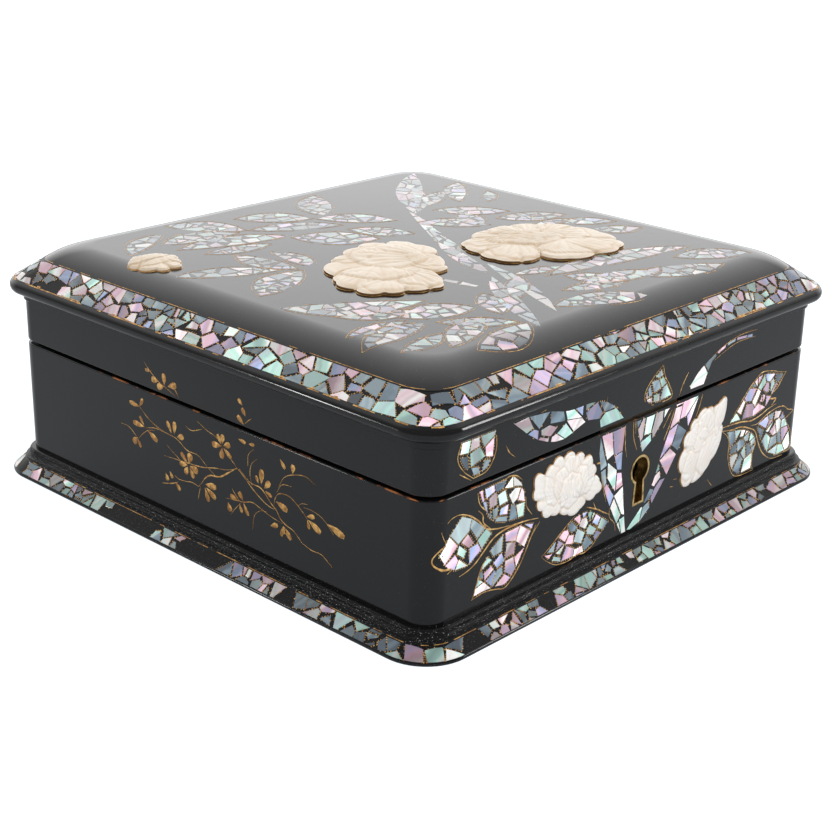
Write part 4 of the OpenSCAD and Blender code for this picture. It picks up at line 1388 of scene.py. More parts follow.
# Flat of the lid, x and y: tip, tip, width, bow
TOP_ARMS = [
    ((-44, -100), (-8, -44), 9, 2), ((-26, -92), (4, -30), 7, -2), ((-8, -46), (12, 2), 8, 1),
    ((-4, -30), (22, 14), 7, -1), ((10, 0), (39, 44), 5, -2), ((22, 8), (27, 26), 4, 0),
    ((38, 40), (94, 93), 13, 2), ((36, 38), (74, 78), 7, -5), ((-28, -30), (-22, -56), 4, 0),
]
TOP_LEAVES = [
    ((-92, 68), (-62, 85), 11, 3), ((-74, 72), (-38, 66), 15, 3), ((-74, 62), (-26, 48), 15, 4),
    ((-70, 50), (-40, 44), 11, 0), ((-54, 95), (-34, 66), 17, 2), ((-26, 84), (0, 62), 16, 2),
    ((-34, 66), (2, 46), 13, 2), ((28, 92), (6, 62), 17, -2), ((0, 62), (24, 36), 15, 2),
    ((-28, 46), (-2, 20), 20, 0), ((-2, 40), (14, 16), 14, 0), ((-99, 34), (-62, 14), 13, 2),
    ((-62, 42), (-56, 10), 13, -2), ((-48, 36), (-50, 8), 11, 2), ((-91, -6), (-56, 8), 17, 2),
    ((-96, -20), (-50, -50), 17, -6), ((-88, -42), (-60, -56), 11, -2), ((-100, -60), (-72, -62), 10, 0),
    ((-104, -72), (-68, -68), 13, 2), ((-72, -58), (-42, -68), 17, 2), ((-98, -84), (-72, -80), 9, -1),
    ((-82, -92), (-48, -78), 13, 2), ((-77, -99), (-42, -92), 14, -2), ((-66, -70), (-44, -90), 11, 0),
    ((6, -60), (84, -73), 15, 5), ((12, -64), (24, -84), 13, 0), ((8, -76), (46, -86), 13, 2),
    ((30, -80), (72, -97), 15, -2), ((64, -78), (94, -95), 15, 2), ((-22, -86), (18, -101), 15, 2),
    ((-4, -76), (24, -86), 10, 0), ((-42, -80), (-28, -58), 12, 0), ((-26, -72), (0, -52), 10, 0),
    ((-2, -50), (22, -56), 8, 0), ((72, -13), (93, -28), 12, 2), ((74, -28), (93, -42), 12, -2),
    ((58, 10), (86, -6), 15, 0), ((60, -8), (82, -12), 8, 0), ((46, 6), (54, 28), 12, 0),
    ((28, 28), (48, 4), 14, 2), ((48, 38), (72, 14), 14, 0), ((52, 44), (78, 58), 11, 2),
    ((68, 40), (96, 66), 12, 2), ((78, 32), (93, 46), 8, -1),
]


def bowed(tip_a, tip_b, width, bow, n=7):
    """The two sides of a pointed leaf between two tips."""
    a, b = Vector(tip_a), Vector(tip_b)
    side = Vector((-(b - a).y, (b - a).x)).normalized()
    rows = [[], []]
    for t in (i / n for i in range(n + 1)):
        base = a.lerp(b, t) + side * bow * 4 * t * (1 - t)
        for row, s in zip(rows, (1, -1)):
            row.append(tuple(base + side * s * width / 2 * math.sin(math.pi * t) ** 0.8))
    return rows


def heading(side_a, side_b):
    """Direction from the root to the tip of what lies between two sides."""
    a = Vector(side_a[0]) + Vector(side_b[0])
    b = Vector(side_a[-1]) + Vector(side_b[-1])
    return math.atan2((b - a).y, (b - a).x)


def face_inlay(name, body, replaced, place, leaves, arms, strokes, seed, edge, light, dots=0.9):
    """The leaves and arms of shell on one face, and its brush strokes of gold; light is the painted light of
    its chips.
    """
    chips, gilding = Chips(seed, light), Gilding()
    for a, b in leaves:
        inlay(chips, gilding, outline(a, b), place, 5.6, edge, dots, 1.0)
    for a, b in arms:
        inlay(chips, gilding, outline(a, b), place, 5.4, 0, 0.15, 0.3, heading(a, b), 1.8)
    for width, points in strokes:
        gilding.stroke(points, width, place)
    chips.finish(f"{name}_chips", body, replaced)
    gilding.finish(f"{name}_gilding", body, "abalone", GILT if place is on_top else BRIGHT_GILT)


top_leaves = [bowed(*leaf) for leaf in TOP_LEAVES]
top_arms = [bowed(*arm) for arm in TOP_ARMS]
# light is painted light: the front faces' chips are made brighter and those on the lid's flat darker,
# standing in for how each face is lit.
face_inlay("front_leaf", "base", ["front_shell_leaves"], on_front, FRONT_LEAVES, FRONT_ARMS, FRONT_STROKES,
           seed=71, edge=0, light=1.4)
face_inlay("lid_front", "lid", ["lid_shell_leaves"], on_front, LID_FRONT, LID_ARMS, LID_STROKES,
           seed=81, edge=0.45, light=1.25)
face_inlay("top_leaf", "lid", ["top_shell_leaves"], on_top, top_leaves, top_arms, [],
           seed=91, edge=0.3, light=0.38, dots=0.25)


def spray(name, body, strokes, petals, place):
    """A gilt spray: its stems, then its petals and leaves."""
    gilding = Gilding()
    for width, points in strokes:
        gilding.stroke(points, width, place)
    for root, tip, width in petals:
        gilding.petal(root, tip, width, place)
    gilding.finish(name, body, "lacquer")


for side, place in (("left", on_left), ("right", on_right)):
    spray(f"spray_{side}", "base", SPRAY_STROKES, SPRAY_PETALS, place)
    spray(f"lid_spray_{side}", "lid", LID_SPRAY_STROKES, LID_SPRAY_PETALS, place)


# ---------------------------------------------------------------- carved shell flowers
def scalloped(notches, bulge=0.26, n=7):
    """A closed outline of round lobes between notches; a notch may carry its own bulge."""
    out = []
    turn = 1 if area([p[:2] for p in notches]) > 0 else -1
    for a, b in zip(notches, notches[1:] + notches[:1]):
        k = turn * (a[2] if len(a) > 2 else bulge)
        p, q = Vector(a[:2]), Vector(b[:2])
        side = Vector(((q - p).y, -(q - p).x))
        for t in (i / n for i in range(n)):
            out.append(tuple(p.lerp(q, t) + side * k * (4 * t * (1 - t)) ** 0.8))
    return out


def ray_reach(poly, c, a):
    """Distance from c to the outline in direction a."""
    d, best = (math.cos(a), math.sin(a)), 0.0
    for p, q in zip(poly, poly[1:] + poly[:1]):
        e = (q[0] - p[0], q[1] - p[1])
        det = d[0] * e[1] - d[1] * e[0]
        if abs(det) < 1e-9:
            continue
        w = (p[0] - c[0], p[1] - c[1])
        t, u = (w[0] * e[1] - w[1] * e[0]) / det, (w[0] * d[1] - w[1] * d[0]) / det
        if 0 <= u <= 1 and t > best:
            best = t
    return best


def blend_step(x):
    """A smooth step from 0 to 1 as x goes from 0 to 1."""
    x = min(1.0, max(0.0, x))
    return x * x * (3 - 2 * x)


class Petal:
    """A carved petal: an oval with a scalloped edge, ribbed from its root, standing over what is below.
    Centre, half sizes and turn in degrees; lift and dome in mm; ribs, their depth, lobes and the root."""

    # With 1 at the edge: where the groove round the petal ends, its middle and width, and the step's
    REACH, GROOVE_AT, GROOVE_WIDTH = 1.25, 1.06, 0.07
    STEP_AT, STEP_WIDTH = 1.03, 0.09
    # Depth of the groove in mm, depth of the lobes as a share of the size, and the ribs' closeness
    GROOVE_DEPTH, LOBE_DEPTH, RIB_WAVE = 0.12, 0.05, 4.2

    def __init__(self, centre, half, turn, lift, dome, ribs, depth, lobes, root):
        self.c, self.half, self.turn = centre, half, math.radians(turn)
        self.lift, self.dome, self.ribs, self.depth = lift, dome, ribs, depth
        self.lobes, self.root = lobes, root

    def shape(self, p):
        """Distance from the petal's centre, 1 at its edge, and the rib there, from 0 to 1."""
        x, y = p[0] - self.c[0], p[1] - self.c[1]
        c, s = math.cos(self.turn), math.sin(self.turn)
        u, v = (x * c + y * s) / self.half[0], (-x * s + y * c) / self.half[1]
        edge = 1 + self.LOBE_DEPTH * math.cos(self.lobes * math.atan2(v, u) * 2)
        q = math.hypot(u, v) / edge
        fan = math.atan2(u - self.root[0], v - self.root[1])
        rib = 0.5 + 0.5 * math.cos(fan * self.ribs * self.RIB_WAVE)
        return q, rib

    def add_to(self, h, painted_groove_shade, p):
        """Height and painted shade in the grooves once the petal lies over them."""
        q, rib = self.shape(p)
        if q > self.REACH:
            return h, painted_groove_shade
        cover = blend_step((self.STEP_AT - q) / self.STEP_WIDTH)
        crease = math.exp(-((q - self.GROOVE_AT) / self.GROOVE_WIDTH) ** 2)
        ribbed = self.depth * rib * blend_step((1.0 - q) / 0.4)
        above = self.lift + self.dome * (1 - min(1, q) ** 2) - ribbed
        h = h + cover * above - self.GROOVE_DEPTH * crease
        # Painted shade in the crease round the petal and along its ribs.
        painted_groove_shade = max(painted_groove_shade * (1 - cover), crease, cover * 0.6 * rib * blend_step((1 - q) / 0.3))
        return h, painted_groove_shade


def to_segment(p, a, b):
    """Distance from a segment, and how far along it the nearest point lies."""
    a, b, p = Vector(a), Vector(b), Vector(p)
    t = min(1.0, max(0.0, (p - a).dot(b - a) / (b - a).length_squared))
    return (p - a.lerp(b, t)).length, t


def carved(name, body, replaced, finish, edge, centre, rim, crown, limit, creases, petals, ribs):
    """A carved flower: rim height at its edge, crown towards its centre, limit never passed.
    The finish is its material, a slot that is not used, and the face it stands on."""
    material, slot, place = finish
    turns, steps = 300, 46
    bm = bmesh.new()
    # The lift attribute holds the height and the painted shade.
    layer = bm.verts.layers.float_color.new("lift")
    rows = []
    for i in range(turns):
        a = 2 * math.pi * i / turns
        far = ray_reach(edge, centre, a)
        row = []
        for k in range(1, steps + 1):
            r = far * (k / steps) ** 0.85
            p = (centre[0] + r * math.cos(a), centre[1] + r * math.sin(a))
            h, painted_groove_shade = relief(p, r, far, a, rim, crown, creases, petals, ribs)
            row.append((p, min(limit, h), painted_groove_shade))
        rows.append(row)

    def vert(p, h, painted_groove_shade):
        v = bm.verts.new(place(p[0], p[1], h))
        v[layer] = (h / limit, painted_groove_shade, 0.0, 1.0)
        return v

    h, painted_groove_shade = relief(centre, 0.0, 1.0, 0.0, rim, crown, creases, petals, ribs)
    hub = vert(centre, min(limit, h), painted_groove_shade)
    grid = [[vert(*item) for item in row] for row in rows]
    # The foot carries painted shade.
    foot = [vert(scaled(row[-1][0], centre, 0.985), 0.0, 0.6) for row in rows]
    under = bm.verts.new(place(centre[0], centre[1], 0.0))
    for i in range(turns):
        j = (i + 1) % turns
        bm.faces.new((hub, grid[i][0], grid[j][0]))
        for k in range(steps - 1):
            bm.faces.new((grid[i][k], grid[i][k + 1], grid[j][k + 1], grid[j][k]))
        bm.faces.new((grid[i][-1], foot[i], foot[j], grid[j][-1]))
        bm.faces.new((foot[i], under, foot[j]))
    gilding = Gilding()
    gilding.stroke(edge + edge[:1], 0.7, place, taper=False, wear=0.2)
    gilding.finish(f"{name}_edge", body, slot)
    return new_object(name, to_mesh(name, bm, 70.0, merge=1e-5), material, body, [replaced], slot)


# Rounding of a flower's rim and depth of its creases, as shares of the rim's height
RIM_ROUND, CREASE_DEPTH = 0.42, 0.45
# Depth in mm and painted shade of the ribs near the edge, and width in mm of a crease
RIB_DEPTH, RIB_PAINTED_SHADE, CREASE_WIDTH = 0.09, 0.45, 0.75


def relief(p, r, far, a, rim, crown, creases, petals, ribs):
    """Height and painted shade in the grooves of a carved flower at one point."""
    q = r / far
    h = rim + crown * (1 - q ** 2)
    h -= rim * RIM_ROUND * blend_step((q - 0.90) / 0.10) ** 1.5
    outer = 0.5 + 0.5 * math.cos(a * ribs)
    h -= RIB_DEPTH * outer * blend_step((q - 0.35) / 0.3) * blend_step((1.0 - q) / 0.15)
    # Painted shade along the ribs near the edge, then in the creases.
    painted_groove_shade = RIB_PAINTED_SHADE * outer * blend_step((q - 0.4) / 0.3) * blend_step((1.0 - q) / 0.2)
    for start, end in creases:
        d, t = to_segment(p, start, end)
        cut = math.exp(-(d / CREASE_WIDTH) ** 2) * (1 - t) ** 0.5
        h -= CREASE_DEPTH * rim * cut
        painted_groove_shade = max(painted_groove_shade, cut)
    for petal in petals:
        h, painted_groove_shade = petal.add_to(h, painted_groove_shade, p)
    return h, painted_groove_shade


PEONY_EDGE = [
    (-56.5, 48.7, 0.62), (-62.0, 45.2), (-60.0, 40.4), (-57.4, 35.8), (-52.3, 32.7, 0.15),
    (-47.6, 32.2, 0.12),
    (-43.0, 30.0, 0.2), (-36.0, 29.8, 0.1), (-32.3, 32.2, 0.2), (-27.0, 32.8, 0.5), (-25.2, 37.4, 0.15),
    (-28.2, 40.6), (-30.2, 45.4, 0.4), (-34.6, 49.1, 0.3), (-39.9, 51.4, 0.3), (-46.6, 52.4, 0.3),
    (-52.6, 51.8, 0.25),
]
BLOSSOM_EDGE = [
    (27.6, 24.3, 0.36), (34.2, 18.5, 0.16), (46.6, 24.7, 0.14), (53.3, 33.6, 0.1), (53.0, 38.3, 0.08),
    (55.0, 47.0, 0.35), (52.3, 49.1, -0.05), (46.2, 46.9, 0.1), (42.0, 47.4, 0.25), (35.4, 45.2, 0.3),
    (31.2, 41.2, 0.36), (28.4, 34.6, 0.3),
]
PEONY_PETALS = [
    Petal((-52.5, 44.0), (4.6, 7.4), 8, 0.12, 0.25, 8, 0.12, 4, (0.2, -1.2)),
    Petal((-34.0, 42.0), (5.2, 7.2), -22, 0.12, 0.25, 8, 0.12, 4, (-0.2, -1.2)),
    Petal((-42.5, 48.0), (4.6, 4.4), -8, 0.10, 0.2, 7, 0.10, 3, (0.0, -1.3)),
    Petal((-47.6, 42.6), (4.6, 6.6), 14, 0.14, 0.25, 7, 0.12, 3, (0.1, -1.3)),
    Petal((-37.8, 41.2), (4.6, 6.0), -18, 0.14, 0.25, 7, 0.12, 3, (-0.1, -1.3)),
    Petal((-42.9, 39.4), (6.0, 6.6), 0, 0.16, 0.35, 8, 0.15, 4, (0.0, -1.25)),
]
PEONY_CREASES = [
    ((-47.6, 32.2), (-44.5, 35.6)), ((-32.3, 32.2), (-37.0, 36.5)), ((-60.0, 40.4), (-52.0, 38.5)),
    ((-56.5, 48.7), (-51.0, 44.0)), ((-28.2, 40.6), (-34.0, 39.5)), ((-34.6, 49.1), (-38.0, 45.5)),
    ((-39.9, 51.4), (-41.0, 48.5)), ((-46.6, 52.4), (-45.0, 48.5)),
]
BLOSSOM_PETALS = [
    Petal((34.0, 28.5), (4.6, 8.6), -38, 0.14, 0.3, 6, 0.08, 3, (0.0, -1.3)),
    Petal((44.5, 29.5), (6.4, 9.6), -42, 0.14, 0.3, 6, 0.08, 3, (0.0, -1.3)),
    Petal((33.6, 38.2), (3.8, 6.0), -36, 0.14, 0.3, 7, 0.12, 4, (0.0, -1.3)),
    Petal((41.0, 41.0), (5.6, 6.2), -40, 0.14, 0.3, 5, 0.08, 3, (0.0, -1.3)),
    Petal((50.4, 42.5), (3.0, 7.2), -16, 0.10, 0.3, 5, 0.06, 2, (0.0, -1.3)),
    Petal((37.5, 36.0), (3.4, 5.2), -38, 0.16, 0.3, 8, 0.12, 4, (0.0, -1.3)),
]
BLOSSOM_CREASES = [((28.4, 34.6), (34.5, 32.0)), ((27.6, 24.3), (33.5, 22.5)), ((46.2, 46.9), (46.5, 41.0)),
                   ((53.0, 38.3), (49.5, 37.0)), ((34.2, 18.5), (37.0, 23.5))]
# The top flowers' edges where they meet the lid
LEFT_EDGE = [
    (-24.5, -28.0, 0.1), (-31.5, -41.5, 0.3), (-39.5, -42.5, 0.2), (-48.0, -38.0, 0.3), (-56.0, -35.0, 0.35),
    (-60.5, -24.5, 0.25), (-60.0, -14.0, 0.12), (-54.5, -7.5, 0.2), (-43.0, 6.5, 0.18), (-33.0, 9.5, 0.2),
    (-21.0, 14.5, 0.3), (-8.0, 12.0, 0.3), (0.0, 2.5, 0.25), (-5.5, -13.0, 0.1), (-13.5, -25.5, 0.2),
    (-18.0, -30.0, 0.15),
]
RIGHT_EDGE = [
    (26.0, -40.5, 0.24), (30.0, -52.5, 0.2), (44.0, -54.5, 0.22), (57.5, -56.0, 0.22), (66.0, -48.0, 0.16),
    (70.5, -36.0, 0.16), (69.5, -24.0, 0.14), (62.0, -12.5, 0.14), (49.0, -4.5, 0.16), (36.5, -3.0, 0.2),
    (22.5, -9.0, 0.3), (12.0, -13.5, 0.16), (10.0, -23.5, 0.2), (7.5, -33.0, 0.2), (13.5, -42.0, 0.16),
    (21.0, -43.5, 0.14),
]
BUD_EDGE = [
    (-97.5, 45.0, 0.5), (-92.5, 43.0, 0.45), (-86.5, 45.5, 0.3), (-84.0, 50.0, 0.35), (-83.0, 57.0, 0.25),
    (-90.0, 62.0, 0.18), (-98.5, 60.0, 0.25), (-101.0, 52.0, 0.2),
]
LEFT_PETALS = [
    Petal((-31.0, 6.0), (8.0, 12.0), -60, 0.20, 0.25, 9, 0.14, 4, (0.0, -1.2)),
    Petal((-11.0, 1.0), (9.0, 11.0), -30, 0.20, 0.30, 9, 0.14, 4, (0.0, -1.2)),
    Petal((-14.5, -17.5), (8.0, 9.0), -50, 0.15, 0.30, 9, 0.14, 4, (-1.2, 0.0)),
    Petal((-54.5, -19.0), (9.0, 8.5), -50, 0.15, 0.30, 7, 0.10, 3, (0.3, 1.2)),
    Petal((-51.5, -32.0), (8.5, 6.5), -50, 0.15, 0.30, 7, 0.08, 3, (0.0, 1.2)),
    Petal((-23.5, -5.0), (14.0, 16.5), -50, 0.45, 0.60, 8, 0.34, 2, (1.3, -0.1)),
    Petal((-32.5, -33.0), (11.0, 9.5), 0, 0.25, 0.35, 7, 0.28, 3, (0.0, 1.25)),
    Petal((-43.0, -18.0), (13.0, 8.0), -50, 0.40, 0.45, 5, 0.05, 2, (0.0, 1.2)),
]
LEFT_CREASES = [
    ((-24.5, -28.0), (-26.0, -19.0)), ((-48.0, -38.0), (-43.5, -29.0)), ((-60.5, -24.5), (-53.0, -21.5)),
    ((-54.5, -7.5), (-45.0, -6.5)), ((-43.0, 6.5), (-37.0, 2.0)), ((-21.0, 14.5), (-21.5, 9.0)),
    ((-8.0, 12.0), (-12.0, 6.0)), ((-5.5, -13.0), (-12.0, -11.0)), ((-39.5, -42.5), (-37.5, -37.0)),
]
RIGHT_PETALS = [
    Petal((22.0, -31.0), (10.0, 12.0), -50, 0.20, 0.30, 7, 0.10, 4, (0.0, 1.2)),
    Petal((44.0, -44.0), (16.0, 9.5), -25, 0.20, 0.30, 7, 0.10, 4, (0.0, 1.2)),
    Petal((58.0, -26.0), (9.0, 14.0), -20, 0.20, 0.30, 9, 0.26, 4, (-1.25, -0.2)),
    Petal((27.0, -12.0), (13.0, 9.0), 25, 0.20, 0.30, 9, 0.26, 4, (0.4, -1.25)),
    Petal((46.0, -12.0), (13.0, 9.0), -10, 0.20, 0.30, 9, 0.26, 4, (-0.3, -1.25)),
    Petal((37.0, -24.0), (15.0, 10.0), -30, 0.40, 0.50, 8, 0.30, 2, (1.3, -0.2)),
    Petal((33.0, -27.0), (8.0, 5.0), -35, 0.20, 0.30, 7, 0.16, 2, (1.2, 0.0)),
]
RIGHT_CREASES = [
    ((26.0, -40.5), (33.0, -31.0)), ((44.0, -54.5), (44.0, -40.0)), ((66.0, -48.0), (55.0, -36.0)),
    ((69.5, -24.0), (58.0, -25.0)), ((49.0, -4.5), (47.0, -14.0)), ((22.5, -9.0), (29.0, -18.0)),
    ((10.0, -23.5), (22.0, -25.0)), ((13.5, -42.0), (18.0, -36.0)),
]
BUD_PETALS = [
    Petal((-93.0, 57.0), (9.0, 4.2), -8, 0.30, 0.5, 6, 0.10, 3, (-1.2, 0.0)),
    Petal((-92.0, 51.5), (7.6, 3.8), 0, 0.20, 0.4, 6, 0.08, 3, (-1.2, 0.0)),
]
BUD_CREASES = [
    ((-92.5, 43.0), (-92.0, 49.0)), ((-86.5, 45.5), (-89.0, 50.0)), ((-101.0, 52.0), (-92.0, 53.0)),
]
FRONT_H = -box_mm("front_peony")[0].y - HALF_D
TOP_H = box_mm("top_peony_left")[1].z - TOP
BUD_H = box_mm("top_bud")[1].z - TOP
front_shell = (WHITE, "carved_shell_white", on_front)
top_shell = (CREAM, "carved_shell_cream", on_top)
carved("carved_peony", "base", "front_peony", front_shell, scalloped(PEONY_EDGE, 0.3), (-43.0, 40.5),
       rim=0.75, crown=0.35, limit=FRONT_H, creases=PEONY_CREASES, petals=PEONY_PETALS, ribs=46)
carved("carved_blossom", "base", "front_blossom", front_shell, scalloped(BLOSSOM_EDGE, 0.25), (40.0, 33.0),
       rim=0.75, crown=0.35, limit=FRONT_H, creases=BLOSSOM_CREASES, petals=BLOSSOM_PETALS, ribs=34)
carved("carved_top_left", "lid", "top_peony_left", top_shell, scalloped(LEFT_EDGE), (-30.0, -13.0),
       rim=1.5, crown=0.55, limit=TOP_H, creases=LEFT_CREASES, petals=LEFT_PETALS, ribs=60)
carved("carved_top_right", "lid", "top_peony_right", top_shell, scalloped(RIGHT_EDGE), (40.0, -29.0),
       rim=1.5, crown=0.55, limit=TOP_H, creases=RIGHT_CREASES, petals=RIGHT_PETALS, ribs=64)
carved("carved_bud", "lid", "top_bud", top_shell, scalloped(BUD_EDGE), (-92.0, 52.5),
       rim=1.3, crown=0.5, limit=BUD_H, creases=BUD_CREASES, petals=BUD_PETALS, ribs=24)


# ---------------------------------------------------------------- brass and wood that keep their CAD shape
def dress(node, material):
    """Give a carried-over node its material."""
    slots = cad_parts[node].data.materials
    for i in range(len(slots)):
        slots[i] = material
    if not len(slots):
        slots.append(material)


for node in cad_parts:
    if node.startswith(("lock", "link")):
        dress(node, LOCK_BRASS)
    elif node.startswith(("hinge", "escutcheon")):
        dress(node, BRASS)
dress("bottom_board", WOOD)


# ---------------------------------------------------------------- padded silk linings
def slab(across, up, low, high, step, quilt):
    """A closed slab in u, v and h, gridded for the cloth; returns it with its fixed points.
    Where quilt is above 0, rows of stitches cross it both ways, quilt grid steps apart."""
    wide, tall = across[1] - across[0], up[1] - up[0]
    nu, nv = (max(3, round(size / step)) for size in (wide, tall))
    bm = bmesh.new()
    layers = []
    for h in (low, high):
        rows = []
        for j in range(nv + 1):
            v = up[0] + tall * j / nv
            rows.append([bm.verts.new((across[0] + wide * i / nu, v, h)) for i in range(nu + 1)])
        layers.append(rows)
    for rows, flip in zip(layers, (True, False)):
        for a, b in zip(rows, rows[1:]):
            for i in range(nu):
                face = (a[i], a[i + 1], b[i + 1], b[i])
                bm.faces.new(tuple(reversed(face)) if flip else face)
    bottom, top = [edge_loop(rows) for rows in layers]
    skin(bm, bottom, top)
    bm.verts.index_update()
    fixed = [v.index for row in layers[0] for v in row]
    for j, row in enumerate(layers[1]):
        fixed += [v.index for i, v in enumerate(row) if quilt and 0 in ((i + j) % quilt, (i - j) % quilt)]
    return bm, fixed


def edge_loop(rows):
    """The outermost vertices of a grid, in order round it."""
    loop = list(rows[0]) + [r[-1] for r in rows[1:]]
    loop += list(reversed(rows[-1][:-1]))
    return loop + [r[0] for r in reversed(rows[1:-1])]


CLOTH_FRAMES = 20


def puffed(mesh, fixed, name):
    """The mesh after its cloth, a little too large for the board behind it, has been filled from within."""
    obj = bpy.data.objects.new(name, mesh)
    scene = bpy.context.scene
    scene.collection.objects.link(obj)
    group = obj.vertex_groups.new(name="board")
    group.add(fixed, 1.0, "REPLACE")
    cloth = obj.modifiers.new("cloth", "CLOTH")
    cloth.point_cache.frame_start, cloth.point_cache.frame_end = 1, CLOTH_FRAMES
    cloth.collision_settings.use_collision = False
    settings = cloth.settings
    settings.quality = 4
    settings.use_pressure, settings.uniform_pressure_force = True, 4.0
    settings.effector_weights.gravity = 0.0
    settings.shrink_min = -0.05
    settings.vertex_group_mass = "board"
    for frame_number in range(1, CLOTH_FRAMES + 1):
        scene.frame_set(frame_number)
    done = bpy.data.meshes.new_from_object(obj.evaluated_get(bpy.context.evaluated_depsgraph_get()))
    scene.frame_set(1)
    bpy.data.objects.remove(obj)
    return done


def positions(mesh):
    """The mesh's points as rows of x, y and z."""
    flat = np.empty(len(mesh.vertices) * 3)
    mesh.vertices.foreach_get("co", flat)
    return flat.reshape(-1, 3)


# Thickness of the board as a share of the pad's, gap round the pad, width of its rounded edge
BOARD_SHARE, PAD_GAP, PUFF_EDGE = 0.35, 0.15, 12


def filled(mesh, name, fixed, spans, start, room):
    """The pad's mesh and points: its face raised from start by at most room, all of it within
    spans. Everything is in metres."""
    rest = positions(mesh)
    mesh = puffed(mesh, fixed, name)
    now = positions(mesh)
    rise = np.clip(now[:, 2] - rest[:, 2], 0, None)
    face = rest[:, 2] > start * 0.5
    if rise.max() < 1e-6:
        edge = np.minimum.reduce([rest[:, k] - spans[k][0] for k in (0, 1)]
                                 + [spans[k][1] - rest[:, k] for k in (0, 1)])
        rise = np.where(face, np.sqrt(np.clip(edge / (PUFF_EDGE * MM), 0, 1)), 0)
    rise = rise / np.percentile(rise[face], 98)
    points = now.copy()
    points[:, 2] = rest[:, 2] + np.where(face, np.clip(rise, 0, 1.0) ** 0.8, 0) * room
    for k in (0, 1):
        points[:, k] = np.clip(now[:, k], *spans[k])
    return mesh, points


def lining(name, node, body, axis, side, step=5.5, quilt=0):
    """A silk pad over a thin board, inside the box of its node; it faces side along axis."""
    lo, hi = box_mm(node)
    flat = [i for i in range(3) if i != axis]
    back = lo[axis] if side > 0 else hi[axis]
    thick = hi[axis] - lo[axis]
    start = BOARD_SHARE * thick
    spans = [(lo[i] + PAD_GAP, hi[i] - PAD_GAP) for i in flat]
    bm, fixed = slab(*spans, 0.0, start, step, quilt)
    in_m = [(low * MM, high * MM) for low, high in spans]
    room = (thick - start - 0.05) * MM
    mesh, points = filled(in_metres(name, bm), name, fixed, in_m, start * MM, room)
    placed = np.empty_like(points)
    for k, i in enumerate(flat):
        placed[:, i] = points[:, k]
    placed[:, axis] = back * MM + side * points[:, 2]
    mesh.vertices.foreach_set("co", placed.ravel())
    bm = bmesh.new()
    bm.from_mesh(mesh)
    bmesh.ops.recalc_face_normals(bm, faces=bm.faces)
    bmesh.ops.subdivide_edges(bm, edges=bm.edges, cuts=1, use_grid_fill=True, smooth=0.6)
    for v in bm.verts:
        v.co[axis] = min(hi[axis] * MM, max(lo[axis] * MM, v.co[axis]))
    mesh = smoothed(poured(name, bm), 60)
    return new_object(name, mesh, SILK, body, [node], "silk")


lining("floor_pad", "base_lining_floor", "base", 2, 1, 4.2, 6)
lining("lid_cushion", "lid_pad", "lid", 2, -1, 4.2, 8)
for prefix, body in (("base", "base"), ("lid", "lid")):
    for side, axis, way in (("front", 1, 1), ("back", 1, -1), ("left", 0, 1), ("right", 0, -1)):
        lining(f"{prefix}_silk_{side}", f"{prefix}_lining_{side}", body, axis, way)


# ---------------------------------------------------------------- camera, floor and lights
CAMERA_AT = Vector((-471.7, -441.4, 275.2)) * MM
CAMERA_AZ, CAMERA_EL, CAMERA_ROLL = (math.radians(a) for a in (-47.03, 21.43, 1.25))
CAMERA_LENS = 71.27
# Half size of the floor, and its glow: to light the case, and more of it where the camera looks
FLOOR_REACH, FLOOR_GLOW, FLOOR_SEEN = 6.0, 0.33, 0.59


def add_camera():
    """The photograph's camera, as fitted to it."""
    data = bpy.data.cameras.new("camera")
    data.lens, data.sensor_width = CAMERA_LENS, 36.0
    data.clip_start = 0.01
    cam = bpy.data.objects.new("camera", data)
    bpy.context.scene.collection.objects.link(cam)
    a, e = CAMERA_AZ, CAMERA_EL
    back = Vector((math.sin(a) * math.cos(e), -math.cos(a) * math.cos(e), math.sin(e)))
    right = Vector((math.cos(a), math.sin(a), 0))
    turn = Matrix((right, back.cross(right), back)).transposed() @ Matrix.Rotation(CAMERA_ROLL, 3, "Z")
    cam.matrix_world = Matrix.Translation(CAMERA_AT) @ turn.to_4x4()
    bpy.context.scene.camera = cam


def add_floor():
    """A pale paper floor lit from below, so that it stays white round the case."""
    mesh = bpy.data.meshes.new("floor")
    r = FLOOR_REACH
    mesh.from_pydata([(-r, -r, 0), (r, -r, 0), (r, r, 0), (-r, r, 0)], [], [(0, 1, 2, 3)])
    n = Nodes("floor_paper")
    paper = n.mix(n.noise(0.004, 2.0), (0.29, 0.29, 0.29), (0.31, 0.31, 0.31))
    seen = n.tree.nodes.new("ShaderNodeLightPath").outputs["Is Camera Ray"]
    glow = n.mad(seen, FLOOR_SEEN, FLOOR_GLOW)
    n.set(Base_Color=paper, Roughness=0.95, Specular_IOR_Level=0.0, Emission_Color=(0.93, 1.0, 1.06, 1.0))
    n.set(Emission_Strength=glow)
    mesh.materials.append(n.mat)
    floor = bpy.data.objects.new("floor", mesh)
    bpy.context.scene.collection.objects.link(floor)


# Way to the far side of the room, the room's light there and away from it, and what the lights aim at
FAR_SIDE = Vector((0.66, 0.62, 0.42)).normalized()
ROOM_BRIGHT, ROOM_DARK = 1.9, 0.30
LIGHTS_AIM = Vector((0, 0, 0.05))


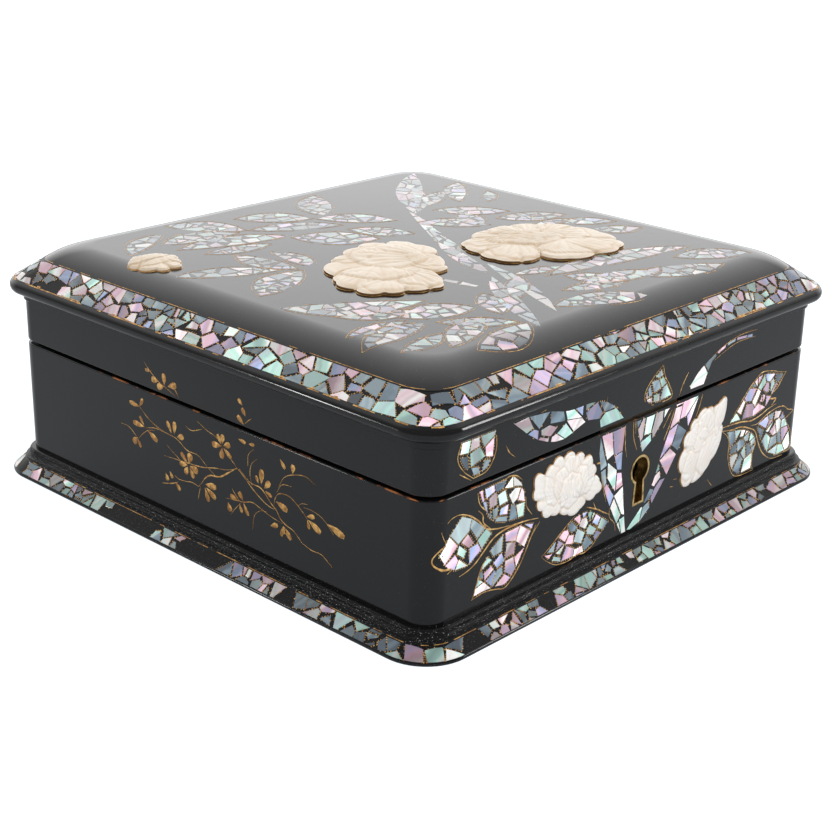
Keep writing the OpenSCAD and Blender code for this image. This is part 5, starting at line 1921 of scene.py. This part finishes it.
def add_softbox(name, at, size, power):
    """A rectangular light turned to the case, which the camera does not see."""
    data = bpy.data.lights.new(name, "AREA")
    data.shape = "RECTANGLE"
    data.size, data.size_y = size
    data.energy = power
    light = bpy.data.objects.new(name, data)
    bpy.context.scene.collection.objects.link(light)
    light.location = at
    light.rotation_euler = (LIGHTS_AIM - Vector(at)).to_track_quat("-Z", "Y").to_euler()
    light.visible_camera = False
    return light


def add_world():
    """A white room, seen plain by the camera, with its light falling off away from the far side."""
    world = bpy.data.worlds.new("studio")
    bpy.context.scene.world = world
    world.use_nodes = True
    tree = world.node_tree
    background = tree.nodes["Background"]
    background.inputs["Color"].default_value = (1, 1, 1, 1)
    coords = tree.nodes.new("ShaderNodeTexCoord")
    facing = tree.nodes.new("ShaderNodeVectorMath")
    facing.operation = "DOT_PRODUCT"
    facing.inputs[1].default_value = FAR_SIDE
    tree.links.new(coords.outputs["Generated"], facing.inputs[0])
    fall = tree.nodes.new("ShaderNodeMapRange")
    fall.interpolation_type = "SMOOTHSTEP"
    limits = {"From Min": 0.05, "From Max": 0.95, "To Min": ROOM_DARK, "To Max": ROOM_BRIGHT}
    for name, value in limits.items():
        fall.inputs[name].default_value = value
    tree.links.new(facing.outputs["Value"], fall.inputs["Value"])
    path = tree.nodes.new("ShaderNodeLightPath")
    pick = tree.nodes.new("ShaderNodeMix")
    tree.links.new(path.outputs["Is Camera Ray"], pick.inputs["Factor"])
    tree.links.new(fall.outputs["Result"], pick.inputs["A"])
    pick.inputs["B"].default_value = 1.0
    tree.links.new(pick.outputs["Result"], background.inputs["Strength"])


def add_light():
    """The room, a large soft fill from the front that is kept out of the gloss, and two strips."""
    add_world()
    fill = add_softbox("fill", (-1.15, -1.25, 1.35), (1.6, 1.6), 34)
    fill.visible_glossy = False
    add_softbox("strip_right", (1.37, -1.5, 0.58), (0.16, 0.7), 6)
    add_softbox("strip_left", (-1.6, 1.32, 0.16), (0.12, 0.25), 3)


add_camera()
add_floor()
add_light()
bpy.context.scene.view_settings.view_transform = "Standard"
